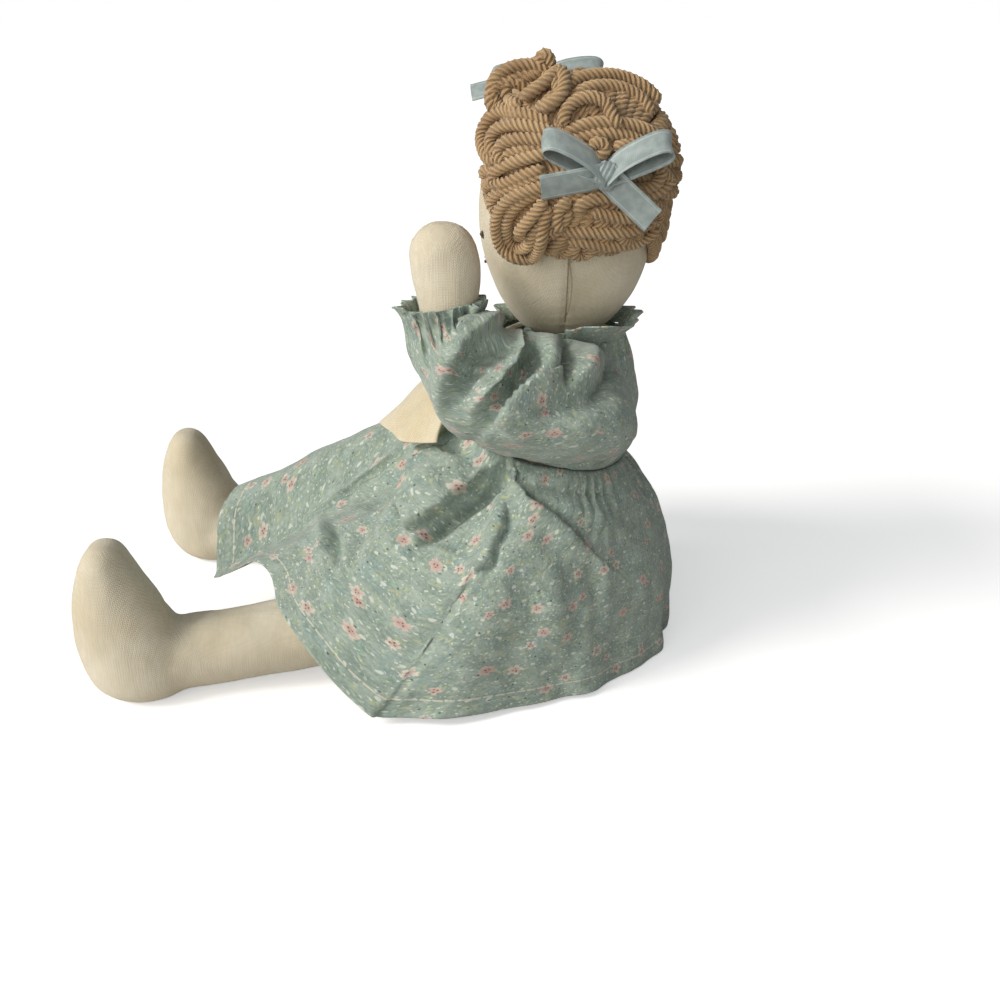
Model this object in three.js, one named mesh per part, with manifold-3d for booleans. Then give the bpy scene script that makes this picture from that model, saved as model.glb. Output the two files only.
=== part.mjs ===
// A sitting cloth rag doll: stuffed muslin body, calico dress, muslin bib, looped yarn hair, two bows.
// Millimetres, +Z up. The doll faces -Y and its left side is +X.
// The origin is on the ground under the middle of the body, where the bunched skirt carries it.

import * as THREE from 'three';
import { mergeVertices } from 'three/addons/utils/BufferGeometryUtils.js';
import Module from 'manifold-3d';

const wasm = await Module();
wasm.setup();

// Sewing
const clearance = 0.4;      // between two pieces that are cut to fit each other
const clothWall = 1.6;      // gathered cotton, as a solid that a check can use
const seamGap = 0.6;        // along a seam between two panels
const overrun = 3;          // how far a cutting shape runs past what it cuts

// Body
const padTop = 11.7;        // bunched skirt cloth under the seat
const torsoHalfWidth = 29;
const torsoHalfDepth = 21;
const torsoLeanBack = 8;    // the neck stands this much behind the hips
const torsoHeight = 92;
const neckRadius = 9;
const neckHeight = 13;
const nodDrop = 9;          // from the neck's round top down to the centre of the nod

// Head
const headHalfWidth = 31;
const headHalfDepth = 30;
const headHeight = 79;
const headOverNeck = 4.4;   // the head's cupped underside hangs over the neck by this much

// Hips and legs
const hipSpread = 25;       // from the middle to each hip
const hipForward = 12;
const hipHeight = 23;
const thighRadius = 14.8;
const ankleRadius = 12.6;
const legReach = 134;       // from the hip to the middle of the heel
const legSplay = 27;        // how much further out the heel is than the hip
const footHeight = 57;
const footHalfDepth = 17.5;
const footHalfWidth = 14.5;
const footFlat = 0.5;
const legLift = 30;         // degrees that a leg can rise from the ground

// Arms
const shoulderSpread = 34;
const shoulderHeight = 106;
const armRadius = 9;
const wristRadius = 8.4;
const handHalfWidth = 11;
const handHalfThickness = 8.6;
const raisedElbowForward = 37;
const raisedElbowRise = 12;
const raisedHandRise = 38;
const cuffRise = 8;         // the raised cuff's elastic above the bend of the arm
const hangingArmLength = 76;
const hangingArmOut = 41;
const hangingArmForward = 25;
const hangingCuffShare = 0.56;

// Dress
const waistHeight = 79;
const waistTilt = 0.3;      // the waist seam climbs this much per millimetre forward
const waistHalfWidth = 38;
const waistHalfDepth = 31;
const waistForward = 8;
const neckline = 113;
const necklineRadius = 22;
const bodiceSwell = 3;
const bodiceFolds = 9;
const foldDepth = 1.5;
const frillHeight = 7.5;
const frillFlare = 5;
const frillFolds = 14;
const sleeveTuck = 14;      // the sleeve's root starts this far inside the arm's pivot
const sleeveFullness = 20;
const hangingSleeveFullness = 16.5;
const sleeveHeading = 4.5;  // the frill past the cuff's elastic
const puffShares = [0.3, 0.85, 1, 1, 0.85, 0.5, 0.05, 0.1];
const elasticRadius = 0.9;
const cuffElasticRadius = 10.6;
const cuffGather = 0.9;
const cuffFolds = 8;
const cuffRadius = cuffElasticRadius + elasticRadius + clearance + clothWall + cuffGather;

// Skirt
const skirtHalfWidthLeft = 76;
const skirtHalfWidthRight = 62;
const sideSeamForward = 63;
const sideSeamWaistForward = 17;
const seamRun = 1.5;        // above 1 the side seam drops before it runs forward
const seamSagLeft = 0.7;    // below 1 the cloth swells over the hip before it drops
const seamSagRight = 1.5;
const hemReachLeft = 104;
const hemReachMiddle = 131;
const hemReachRight = 128;
const hemOverLeftLeg = 37;
const hemOverRightLeg = 41;
const lapSag = 0.62;        // below 1 the lap drops at the waist, then levels out
const hemBetweenLegs = 17;
const hemAtSeam = 4;
const skirtFolds = 7;
const skirtFoldDepth = 2;
const skirtBackReach = 42;
const backSeamShare = 0.0025;   // the back panel stops this short of the seam line
const seatPadHalfWidth = 34;
const seatPadHalfDepth = 19;
const seatPadBack = 22.8;   // from the middle of the body back to the pad's centre
const seatTongueHalfWidth = 9;
const seatTongueHalfDepth = 16;
const seatTongueBack = 2;
const seatFlat = 0.5;

// Bib
const bibDrop = 33;
const bibHalfAngle = 41;    // degrees round the neck
const bibTopRadius = 21;
const bibHemRadius = 41;
const bibHemForward = 63;
const bibCloth = 1;

// Hair
const hairDepth = 5;
const hairline = 147;
const faceHalfWidth = 25;
const faceHalfHeight = 25;
const bunchHalfDepth = 31;
const bunchHalfHeight = 28;
const bunchThickness = 16;
const bunchHeight = 170;
const bunchBack = 3;
const topLoopRadius = 13;
const topLoopForward = 12;
const topLoopOut = 19;
const topLoopHeight = 187;

// Ribbons
const ribbonWidth = 7;
const ribbonThickness = 0.8;
const bowBack = 9;          // the left bow's knot behind the middle of the head
const bowHeight = 171;
const topBowOut = 27;       // the right bow stands on the top loops of its bunch
const topBowForward = 5;
const topBowRise = 2.4;     // above the top of the head
const bowLoop = 20;         // from the knot to the end of a loop
const bowTail = 20;
const knotHalfWidth = 3.6;
const knotHalfThickness = 2.6;

// How finely each kind of shape is faceted
const limbSides = 14;
const limbRings = 12;
const bodySides = 22;
const bodyRows = 10;
const panelColumns = 22;
const panelRows = 9;
const knotSides = 10;
const elasticSides = 5;
const elasticSteps = 20;

const muslin = new THREE.MeshStandardMaterial({ color: '#d9c7a4', roughness: 0.95, metalness: 0 });
const calico = new THREE.MeshStandardMaterial({ color: '#8fa79b', roughness: 0.9, metalness: 0 });
const bibMuslin = new THREE.MeshStandardMaterial({ color: '#dccdae', roughness: 0.95, metalness: 0 });
const yarn = new THREE.MeshStandardMaterial({ color: '#b08a5a', roughness: 1, metalness: 0 });
const satin = new THREE.MeshStandardMaterial({ color: '#9fb4b6', roughness: 0.45, metalness: 0 });
const elastic = new THREE.MeshStandardMaterial({ color: '#e8e4da', roughness: 0.8, metalness: 0 });

// Places worked out from the sizes above
const torsoTop = padTop + clearance + torsoHeight;
const neckTop = torsoTop + clearance + neckHeight;
const nodCentre = new THREE.Vector3(0, 0, neckTop - nodDrop);
const headBottom = neckTop - headOverNeck;
const headTop = headBottom + headHeight;
const raisedShoulder = new THREE.Vector3(shoulderSpread, 0, shoulderHeight);
const hangingShoulder = new THREE.Vector3(-shoulderSpread, 0, shoulderHeight);

const doll = new THREE.Group();

function addPiece(name, geometry, material) {
  const mesh = new THREE.Mesh(geometry, material.clone());
  mesh.name = name;
  doll.add(mesh);
}

// A value read along a list of shares, with soft steps between them
function readShares(shares, t) {
  const place = Math.min(Math.max(t, 0), 1) * (shares.length - 1);
  const first = Math.min(Math.floor(place), shares.length - 2);
  const part = place - first;
  const soft = part * part * (3 - 2 * part);
  return THREE.MathUtils.lerp(shares[first], shares[first + 1], soft);
}

// A closed skin over rings of points that turn anticlockwise about the way they are stacked
function skinOver(rings, startTip, endTip) {
  const sides = rings[0].length;
  const points = [...rings.flat(), startTip, endTip];
  const startIndex = points.length - 2;
  const endIndex = points.length - 1;
  const lastRing = (rings.length - 1) * sides;
  const faces = [];
  for (let side = 0; side < sides; side += 1) {
    const next = (side + 1) % sides;
    for (let ring = 0; ring < rings.length - 1; ring += 1) {
      const low = ring * sides;
      const high = low + sides;
      faces.push(low + side, low + next, high + next, low + side, high + next, high + side);
    }
    faces.push(startIndex, next, side, endIndex, lastRing + side, lastRing + next);
  }
  return geometryFrom(points, faces);
}

function geometryFrom(points, faces) {
  const geometry = new THREE.BufferGeometry().setFromPoints(points);
  geometry.setIndex(faces);
  return geometry;
}

function toSolid(geometry) {
  const bare = geometry.clone();
  bare.deleteAttribute('normal');
  bare.deleteAttribute('uv');
  const merged = mergeVertices(bare);
  const vertProperties = new Float32Array(merged.attributes.position.array);
  const triVerts = new Uint32Array(merged.index.array);
  return new wasm.Manifold(new wasm.Mesh({ numProp: 3, vertProperties, triVerts }));
}

function toGeometry(solid) {
  const cut = solid.getMesh();
  const geometry = new THREE.BufferGeometry();
  geometry.setAttribute('position', new THREE.BufferAttribute(new Float32Array(cut.vertProperties), 3));
  geometry.setIndex(new THREE.BufferAttribute(new Uint32Array(cut.triVerts), 1));
  return geometry;
}

// Keeps the largest piece where a cut leaves crumbs
function mainPiece(solid) {
  const pieces = solid.decompose();
  return pieces.reduce((best, piece) => (piece.volume() > best.volume() ? piece : best));
}

function joined(...solids) {
  return solids.reduce((whole, solid) => whole.add(solid));
}

// A stuffed tube along a spine: shares shape its width and thickness, and both ends are round
function stuffedTube({ spine, width, thickness, widthShares, thicknessShares, round, grow = 0 }) {
  const length = spine.getLength();
  const rings = [];
  for (let ring = 1; ring < limbRings; ring += 1) {
    const t = (1 - Math.cos((Math.PI * ring) / limbRings)) / 2;
    const fromEnd = Math.min(t, 1 - t) * length;
    const dome = fromEnd >= round ? 1 : Math.sqrt(1 - (1 - fromEnd / round) ** 2);
    const along = spine.getTangentAt(t);
    const side = new THREE.Vector3(1, 0, 0).addScaledVector(along, -along.x).normalize();
    const front = new THREE.Vector3().crossVectors(along, side);
    const halfWidth = width * readShares(widthShares, t) * dome + grow;
    const halfThickness = thickness * readShares(thicknessShares, t) * dome + grow;
    const centre = spine.getPointAt(t);
    rings.push(Array.from({ length: limbSides }, (_, k) => {
      const turn = (2 * Math.PI * k) / limbSides;
      return centre.clone()
        .addScaledVector(side, halfWidth * Math.cos(turn))
        .addScaledVector(front, halfThickness * Math.sin(turn));
    }));
  }
  const startTip = spine.getPointAt(0).addScaledVector(spine.getTangentAt(0), -grow);
  const endTip = spine.getPointAt(1).addScaledVector(spine.getTangentAt(1), grow);
  return skinOver(rings, startTip, endTip);
}

function spineThrough(...places) {
  return new THREE.CatmullRomCurve3(places, false, 'centripetal');
}

// A body stacked in level rings: each level is [height, half width, half depth, forward]
const plainSkin = { rows: bodyRows, sides: bodySides, grow: 0, ripple: () => 0, tilt: 0 };

function levelSkin(levels, options = {}) {
  const { rows, sides, grow, ripple, tilt } = { ...plainSkin, ...options };
  const heights = spineThrough(...levels.map(([z, w]) => new THREE.Vector3(w, 0, z)));
  const depths = spineThrough(...levels.map(([z, , d, f]) => new THREE.Vector3(d, f, z)));
  const rings = [];
  for (let row = 0; row <= rows; row += 1) {
    const t = row / rows;
    const wide = heights.getPoint(t);
    const deep = depths.getPoint(t);
    rings.push(Array.from({ length: sides }, (_, k) => {
      const turn = (2 * Math.PI * k) / sides;
      const push = grow + ripple(turn, t);
      const x = (wide.x + push) * Math.cos(turn);
      const y = (deep.x + push) * Math.sin(turn) - deep.y;
      return new THREE.Vector3(x, y, wide.z - tilt * (y + deep.y) * (1 - t));
    }));
  }
  const [bottom, top] = [levels[0], levels[levels.length - 1]];
  const startTip = new THREE.Vector3(0, -bottom[3], bottom[0] - grow);
  const endTip = new THREE.Vector3(0, -top[3], top[0] + grow);
  return skinOver(rings, startTip, endTip);
}

function ball(centre, radius, [x, y, z] = [1, 1, 1], sides = bodySides) {
  const geometry = new THREE.SphereGeometry(radius, sides, Math.round(sides / 2));
  geometry.scale(x, y, z);
  geometry.translate(centre.x, centre.y, centre.z);
  return geometry;
}

// Everything under the ground plane, for cutting a flat underside
function groundBlock(depth) {
  const reach = 2 * hemReachMiddle + 2 * skirtHalfWidthLeft;
  const block = new THREE.BoxGeometry(reach, reach, depth + overrun);
  block.translate(0, 0, -(depth + overrun) / 2);
  return toSolid(block);
}

// Legs: a stuffed tube with the foot turned up, one pattern for both sides

function hipPlace(side) {
  return new THREE.Vector3(side * hipSpread, -hipForward, hipHeight);
}

function legSolid(side, grow = 0) {
  const hip = hipPlace(side);
  const heelY = -hipForward - legReach;
  const heelX = side * (hipSpread + legSplay);
  const legLine = spineThrough(
    new THREE.Vector3(hip.x, hip.y + thighRadius, hip.z),
    new THREE.Vector3(hip.x, hip.y, hip.z),
    new THREE.Vector3(THREE.MathUtils.lerp(hip.x, heelX, 0.45), -hipForward - 0.45 * legReach, hip.z * 0.75),
    new THREE.Vector3(heelX, heelY - footHalfDepth / 2, ankleRadius + thighRadius - hip.z / 2 - footFlat),
  );
  const leg = stuffedTube({
    spine: legLine,
    width: thighRadius,
    thickness: thighRadius,
    widthShares: [1, 1, 0.98, 0.93, 0.88, 0.84, 0.84],
    thicknessShares: [1, 1, 0.96, 0.9, 0.86, 0.84, 0.86],
    round: thighRadius,
    grow,
  });
  const footLine = spineThrough(
    new THREE.Vector3(heelX, heelY + footHalfDepth * 0.05, -footFlat),
    new THREE.Vector3(heelX, heelY, footHeight * 0.4),
    new THREE.Vector3(heelX, heelY - footHalfDepth * 0.3, footHeight),
  );
  const foot = stuffedTube({
    spine: footLine,
    width: footHalfWidth,
    thickness: footHalfDepth,
    widthShares: [0.95, 1, 0.98, 0.92, 0.85, 0.8],
    thicknessShares: [0.95, 1, 1, 0.9, 0.76, 0.66],
    round: footHalfDepth * 0.8,
    grow,
  });
  return joined(toSolid(leg), toSolid(foot));
}

// The room that a leg's root needs as it swings from lifted to straight down
function legRoom(side) {
  const reach = thighRadius + clearance;
  const room = new THREE.Shape();
  const liftedTurn = THREE.MathUtils.degToRad(legLift);
  const far = hipHeight * 4;
  room.moveTo(reach - hipForward, hipHeight);
  room.absarc(-hipForward, hipHeight, reach, 0, Math.PI / 2 - liftedTurn, false);
  room.lineTo(
    -hipForward + reach * Math.sin(liftedTurn) - far * Math.cos(liftedTurn),
    hipHeight + reach * Math.cos(liftedTurn) + far * Math.sin(liftedTurn),
  );
  room.lineTo(-hipForward - far, -far);
  room.lineTo(-hipForward + reach, -far);
  room.closePath();
  const block = new THREE.ExtrudeGeometry(room, {
    depth: 2 * reach, bevelEnabled: false, curveSegments: limbSides,
  });
  block.rotateX(Math.PI / 2);
  block.rotateZ(Math.PI / 2);
  block.translate(side * hipSpread - reach, 0, 0);
  return toSolid(block);
}

// Arms: the raised one bends up at the cuff, the other hangs straight at the side

function raisedArmElbow() {
  return raisedShoulder.clone().add(new THREE.Vector3(0, -raisedElbowForward, raisedElbowRise));
}

function raisedArmSolid(grow = 0) {
  const elbow = raisedArmElbow();
  const upper = stuffedTube({
    spine: spineThrough(
      raisedShoulder.clone().add(new THREE.Vector3(0, armRadius, -armRadius / 3)),
      raisedShoulder.clone().lerp(elbow, 0.45),
      elbow.clone().add(new THREE.Vector3(0, -wristRadius / 2, wristRadius / 3)),
    ),
    width: armRadius,
    thickness: armRadius,
    widthShares: [1, 1, 0.95, 0.92],
    thicknessShares: [1, 1, 0.95, 0.92],
    round: armRadius,
    grow,
  });
  const handTop = elbow.clone().add(new THREE.Vector3(0, 0, raisedHandRise));
  const hand = stuffedTube({
    spine: spineThrough(
      elbow.clone().add(new THREE.Vector3(0, 0, -wristRadius)),
      elbow.clone().lerp(handTop, 0.3),
      handTop,
    ),
    width: handHalfThickness,
    thickness: handHalfWidth,
    widthShares: [0.96, 0.98, 1, 1, 0.98],
    thicknessShares: [0.78, 0.78, 0.96, 1, 1],
    round: handHalfWidth,
    grow,
  });
  return joined(toSolid(upper), toSolid(hand));
}

function hangingArmDrop() {
  return Math.sqrt(hangingArmLength ** 2 - hangingArmOut ** 2 - hangingArmForward ** 2);
}

function hangingArmEnd() {
  const reach = new THREE.Vector3(-hangingArmOut, -hangingArmForward, -hangingArmDrop());
  return hangingShoulder.clone().add(reach);
}

function hangingArmSolid(grow = 0) {
  const end = hangingArmEnd();
  const start = hangingShoulder.clone().lerp(end, -armRadius / hangingArmLength);
  const arm = stuffedTube({
    spine: spineThrough(start, hangingShoulder.clone().lerp(end, 0.5), end),
    width: armRadius,
    thickness: armRadius,
    widthShares: [1, 1, 1, 0.95, 0.93, 0.96, 0.98],
    thicknessShares: [1, 1, 1, 0.95, 0.93, 1.15, 1.22],
    round: armRadius,
    grow,
  });
  return toSolid(arm);
}

// Head, neck and torso

const headLevels = [
  [headBottom, 0.4 * headHalfWidth, 0.4 * headHalfDepth, 0],
  [headBottom + 0.04 * headHeight, 0.5 * headHalfWidth, 0.5 * headHalfDepth, 0],
  [headBottom + 0.11 * headHeight, 0.67 * headHalfWidth, 0.68 * headHalfDepth, 0],
  [headBottom + 0.2 * headHeight, 0.82 * headHalfWidth, 0.83 * headHalfDepth, 0],
  [headBottom + 0.32 * headHeight, 0.93 * headHalfWidth, 0.94 * headHalfDepth, 0],
  [headBottom + 0.46 * headHeight, headHalfWidth, headHalfDepth, 0],
  [headBottom + 0.6 * headHeight, headHalfWidth, headHalfDepth, 0],
  [headBottom + 0.74 * headHeight, 0.93 * headHalfWidth, 0.94 * headHalfDepth, 0],
  [headBottom + 0.86 * headHeight, 0.76 * headHalfWidth, 0.77 * headHalfDepth, 0],
  [headBottom + 0.95 * headHeight, 0.48 * headHalfWidth, 0.48 * headHalfDepth, 0],
  [headTop, 0.12 * headHalfWidth, 0.12 * headHalfDepth, 0],
];

function headSolid(grow = 0) {
  return toSolid(levelSkin(headLevels, { grow, rows: 16 }));
}

const torsoBottom = padTop + clearance;
const torsoLevels = [
  [torsoBottom, 0.55 * torsoHalfWidth, 0.5 * torsoHalfDepth, torsoLeanBack],
  [torsoBottom + 0.05 * torsoHeight, 0.86 * torsoHalfWidth, 0.86 * torsoHalfDepth, torsoLeanBack],
  [torsoBottom + 0.2 * torsoHeight, torsoHalfWidth, torsoHalfDepth, 0.9 * torsoLeanBack],
  [torsoBottom + 0.45 * torsoHeight, 0.97 * torsoHalfWidth, 0.95 * torsoHalfDepth, 0.6 * torsoLeanBack],
  [torsoBottom + 0.72 * torsoHeight, 0.9 * torsoHalfWidth, 0.84 * torsoHalfDepth, 0.3 * torsoLeanBack],
  [torsoBottom + 0.88 * torsoHeight, 0.78 * torsoHalfWidth, 0.7 * torsoHalfDepth, 0.1 * torsoLeanBack],
  [torsoBottom + 0.96 * torsoHeight, 0.55 * torsoHalfWidth, 0.58 * torsoHalfDepth, 0],
  [torsoTop, 1.15 * neckRadius, 1.1 * neckRadius, 0],
];

function torsoSolid(grow = 0) {
  return toSolid(levelSkin(torsoLevels, { grow }));
}

function neckGeometry() {
  const profile = [new THREE.Vector2(0, torsoTop + clearance)];
  profile.push(new THREE.Vector2(neckRadius, torsoTop + clearance));
  const steps = 6;
  for (let step = 0; step <= steps; step += 1) {
    const turn = (Math.PI / 2) * (step / steps);
    profile.push(new THREE.Vector2(
      step === steps ? 0 : neckRadius * Math.cos(turn),
      nodCentre.z + nodDrop * Math.sin(turn),
    ));
  }
  const neck = new THREE.LatheGeometry(profile, limbSides);
  neck.rotateX(Math.PI / 2);
  return neck;
}

const nodCup = toSolid(ball(nodCentre, nodDrop + clearance));
addPiece('neck', neckGeometry(), muslin);
addPiece('head', toGeometry(mainPiece(headSolid().subtract(nodCup))), muslin);

const shoulderCups = joined(
  toSolid(ball(raisedShoulder, armRadius + 3 * clearance)),
  toSolid(ball(hangingShoulder, armRadius + 3 * clearance)),
);
const torso = torsoSolid()
  .subtract(legRoom(1))
  .subtract(legRoom(-1))
  .subtract(shoulderCups);
addPiece('torso', toGeometry(mainPiece(torso)), muslin);

for (const [name, side] of [['leg_left', 1], ['leg_right', -1]]) {
  addPiece(name, toGeometry(mainPiece(legSolid(side).subtract(groundBlock(footFlat)))), muslin);
}
addPiece('arm_left', toGeometry(raisedArmSolid()), muslin);
addPiece('arm_right', toGeometry(hangingArmSolid()), muslin);

// Dress bodice: a gathered tube of calico from the waist seam to the neckline

function bodiceRipple(turn, t) {
  return foldDepth * Math.cos(bodiceFolds * turn) * Math.sin(Math.PI * t);
}

function bodiceSolid(grow, ends) {
  const rise = neckline - waistHeight;
  const levels = [
    [waistHeight - ends, waistHalfWidth, waistHalfDepth, waistForward],
    [waistHeight + 0.3 * rise, waistHalfWidth + bodiceSwell, waistHalfDepth + bodiceSwell, waistForward],
    [waistHeight + 0.7 * rise, 0.9 * waistHalfWidth, 0.88 * waistHalfDepth, 0.5 * waistForward],
    [neckline + ends, necklineRadius, necklineRadius, 0],
  ];
  return toSolid(levelSkin(levels, { grow, ripple: bodiceRipple, sides: 32, rows: 6, tilt: waistTilt }));
}

const armRoom = joined(raisedArmSolid(clearance * 2), hangingArmSolid(clearance * 2));
const bodice = bodiceSolid(0, 0)
  .subtract(bodiceSolid(-clothWall, overrun))
  .subtract(armRoom);
addPiece('dress_bodice', toGeometry(mainPiece(bodice)), calico);

// A ring with a wavy or plain wall, stacked in levels, open in the middle

function openRing(levels, wall, options) {
  const outer = toSolid(levelSkin(levels, options));
  const first = levels[0];
  const last = levels[levels.length - 1];
  const bore = [
    [first[0] - overrun, first[1], first[2], first[3]],
    ...levels,
    [last[0] + overrun, last[1], last[2], last[3]],
  ];
  return outer.subtract(toSolid(levelSkin(bore, { ...options, grow: -wall })));
}

const frillBottom = neckline + clearance;
const frill = openRing([
  [frillBottom, necklineRadius, necklineRadius, 0],
  [frillBottom + 0.5 * frillHeight, necklineRadius + 0.3 * frillFlare, necklineRadius + 0.3 * frillFlare, 0],
  [frillBottom + frillHeight, necklineRadius + frillFlare, necklineRadius + frillFlare, 0],
], clothWall, { ripple: (turn, t) => foldDepth * t * Math.cos(frillFolds * turn), rows: 3, sides: 42 });
addPiece('neck_frill', toGeometry(mainPiece(frill.subtract(headSolid(clearance)))), calico);

const neckElastic = new THREE.TorusGeometry(
  necklineRadius - clothWall - 2 * elasticRadius, elasticRadius, elasticSides, elasticSteps,
);
neckElastic.translate(0, 0, neckline - 2 * elasticRadius);
addPiece('neck_elastic', neckElastic, elastic);

// Skirt: a front panel laid over both legs and a back panel down to the ground

function skirtSide(share) {
  return share >= 0 ? skirtHalfWidthLeft : skirtHalfWidthRight;
}

// A place on the side seam, where the two panels meet: t runs from the waist to the hem
function seamPlace(side, t) {
  const sag = side > 0 ? seamSagLeft : seamSagRight;
  const out = THREE.MathUtils.lerp(waistHalfWidth, skirtSide(side), t ** sag);
  return new THREE.Vector3(
    side * out,
    -THREE.MathUtils.lerp(sideSeamWaistForward, sideSeamForward, t ** seamRun),
    THREE.MathUtils.lerp(waistSeamHeight(-sideSeamWaistForward), hemAtSeam, t),
  );
}

function waistSeamHeight(y) {
  return waistHeight - clearance * 2 - waistTilt * (y + waistForward);
}

// Front panel: u runs from the right seam (-1) to the left seam (+1)
function frontPlace(u, t) {
  const round = Math.cos((u * Math.PI) / 2);
  const waistY = -sideSeamWaistForward - (waistForward + waistHalfDepth - sideSeamWaistForward) * round;
  const waistX = waistHalfWidth * Math.sin((u * Math.PI) / 2);
  const waist = new THREE.Vector3(waistX, waistY, waistSeamHeight(waistY));
  const reach = u > 0 ? hemReachLeft : hemReachRight;
  const middle = Math.exp(-((u / 0.22) ** 2));
  const edge = Math.abs(u) ** 3.5;
  const overLeg = THREE.MathUtils.lerp(u > 0 ? hemOverLeftLeg : hemOverRightLeg, hemBetweenLegs, middle);
  const seam = seamPlace(Math.sign(u) || 1, 1);
  const hem = new THREE.Vector3(
    u * skirtSide(u) * (1 - 0.06 * (1 - Math.abs(u))),
    -THREE.MathUtils.lerp(THREE.MathUtils.lerp(reach, hemReachMiddle, middle), sideSeamForward, edge),
    THREE.MathUtils.lerp(overLeg, hemAtSeam, edge),
  );
  const place = waist.clone().lerp(hem, t);
  place.z = THREE.MathUtils.lerp(waist.z, hem.z, t ** lapSag);
  place.z += skirtFoldDepth * Math.cos(skirtFolds * Math.PI * u) * Math.sin(Math.PI * t) * (1 - edge);
  if (Math.abs(u) === 1) {
    return seamPlace(u, t);
  }
  const onSeam = seamPlace(Math.sign(u) || 1, t);
  return place.lerp(onSeam, Math.abs(u) ** 12);
}

// Back panel: v runs from the left seam (0) round the back to the right seam (1)
function backPlace(v, t) {
  const turn = Math.PI * v;
  const belly = Math.sin(turn) ** 0.8;
  const across = (1 - Math.cos(turn)) / 2;
  const seamPoint = seamPlace(1, t).lerp(seamPlace(-1, t), across);
  const waistY = THREE.MathUtils.lerp(-sideSeamWaistForward, waistHalfDepth - waistForward, belly);
  const hemY = THREE.MathUtils.lerp(-sideSeamForward, skirtBackReach, belly);
  const hemZ = THREE.MathUtils.lerp(hemAtSeam, 0, belly);
  const bulge = Math.sin((t * Math.PI) / 2);
  const y = THREE.MathUtils.lerp(waistY, hemY, THREE.MathUtils.lerp(t ** seamRun, bulge, belly));
  const wide = THREE.MathUtils.lerp(1, 0.86, belly * t);
  const fold = skirtFoldDepth * Math.cos(skirtFolds * 2 * turn) * Math.sin(turn) * t;
  return new THREE.Vector3(
    seamPoint.x * wide + fold * Math.cos(turn),
    y + fold * Math.sin(turn),
    THREE.MathUtils.lerp(waistSeamHeight(waistY), hemZ, t),
  );
}

// A closed panel of cloth under a surface of places, offset inward by the cloth's wall
function clothPanel(place, columns, rows, wall) {
  const grid = [];
  for (let row = 0; row <= rows; row += 1) {
    grid.push(Array.from({ length: columns + 1 }, (_, column) => place(column / columns, row / rows)));
  }
  const at = (row, column) => {
    const line = grid[THREE.MathUtils.clamp(row, 0, rows)];
    return line[THREE.MathUtils.clamp(column, 0, columns)];
  };
  const inner = grid.map((line, row) => line.map((point, column) => {
    const across = at(row, column + 1).clone().sub(at(row, column - 1));
    const down = at(row + 1, column).clone().sub(at(row - 1, column));
    return point.clone().addScaledVector(across.cross(down).normalize(), -wall);
  }));
  const width = columns + 1;
  const points = [...grid.flat(), ...inner.flat()];
  const back = grid.length * width;
  const faces = [];
  const quad = (a, b, c, d) => faces.push(a, b, c, a, c, d);
  for (let row = 0; row < rows; row += 1) {
    for (let column = 0; column < columns; column += 1) {
      const a = row * width + column;
      quad(a, a + 1, a + width + 1, a + width);
      quad(back + a, back + a + width, back + a + width + 1, back + a + 1);
    }
    const left = row * width;
    const right = left + columns;
    quad(left, left + width, back + left + width, back + left);
    quad(right, back + right, back + right + width, right + width);
  }
  for (let column = 0; column < columns; column += 1) {
    const low = rows * width + column;
    quad(column, back + column, back + column + 1, column + 1);
    quad(low, low + 1, back + low + 1, back + low);
  }
  return toSolid(geometryFrom(points, faces));
}

const seamShare = seamGap / (waistHalfWidth + waistHalfDepth);
const frontAt = (c, t) => frontPlace(THREE.MathUtils.lerp(1, -1, c) * (1 - seamShare), t);
const backAt = (c, t) => backPlace(THREE.MathUtils.lerp(1 - backSeamShare, backSeamShare, c), t);
const skirtFront = clothPanel(frontAt, panelColumns, panelRows, clothWall);
const skirtBackPanel = clothPanel(backAt, panelColumns, panelRows, clothWall);

// Room round a panel, for what is cut to lie or hang clear of it
function panelRoom(place) {
  const outward = (c, t) => {
    const at = place(c, t);
    const push = new THREE.Vector3(at.x, at.y + waistForward, 0).normalize();
    return at.addScaledVector(push, clearance + seamGap).add(new THREE.Vector3(0, 0, clearance));
  };
  return clothPanel(outward, panelColumns, panelRows, clothWall + 3 * (clearance + seamGap));
}

const frontTrim = panelRoom((c, t) => frontPlace(THREE.MathUtils.lerp(1, -1, c), t));

// Bunched skirt cloth that the doll sits on: a pad under the seat and a tongue between the thighs
function seatCushion(halfWidth, halfDepth, back) {
  return toSolid(levelSkin([
    [-seatFlat, 0.8 * halfWidth, 0.8 * halfDepth, -back],
    [0.5 * padTop, halfWidth, halfDepth, -back],
    [padTop, 0.75 * halfWidth, 0.7 * halfDepth, -back],
  ], { rows: 6 }));
}

const seatPad = joined(
  seatCushion(seatPadHalfWidth, seatPadHalfDepth, seatPadBack),
  seatCushion(seatTongueHalfWidth, seatTongueHalfDepth, seatTongueBack),
);
const bothLegs = joined(legSolid(1, clearance), legSolid(-1, clearance));
const armSpace = hangingArmSolid(clearance * 2);
addPiece('skirt_front', toGeometry(mainPiece(
  skirtFront.subtract(bothLegs).subtract(torsoSolid(clearance)),
)), calico);
const skirtBack = joined(skirtBackPanel, seatPad)
  .subtract(frontTrim)
  .subtract(skirtFront.translate([0, clearance, -clearance]))
  .subtract(bothLegs)
  .subtract(torsoSolid(clearance))
  .subtract(armSpace)
  .subtract(groundBlock(seatFlat));
addPiece('skirt_back', toGeometry(mainPiece(skirtBack)), calico);

const skirtRoom = joined(panelRoom(frontAt), panelRoom(backAt));

// Sleeves: full tubes gathered by elastic at the cuff, cut to fit the bodice and the head

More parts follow.
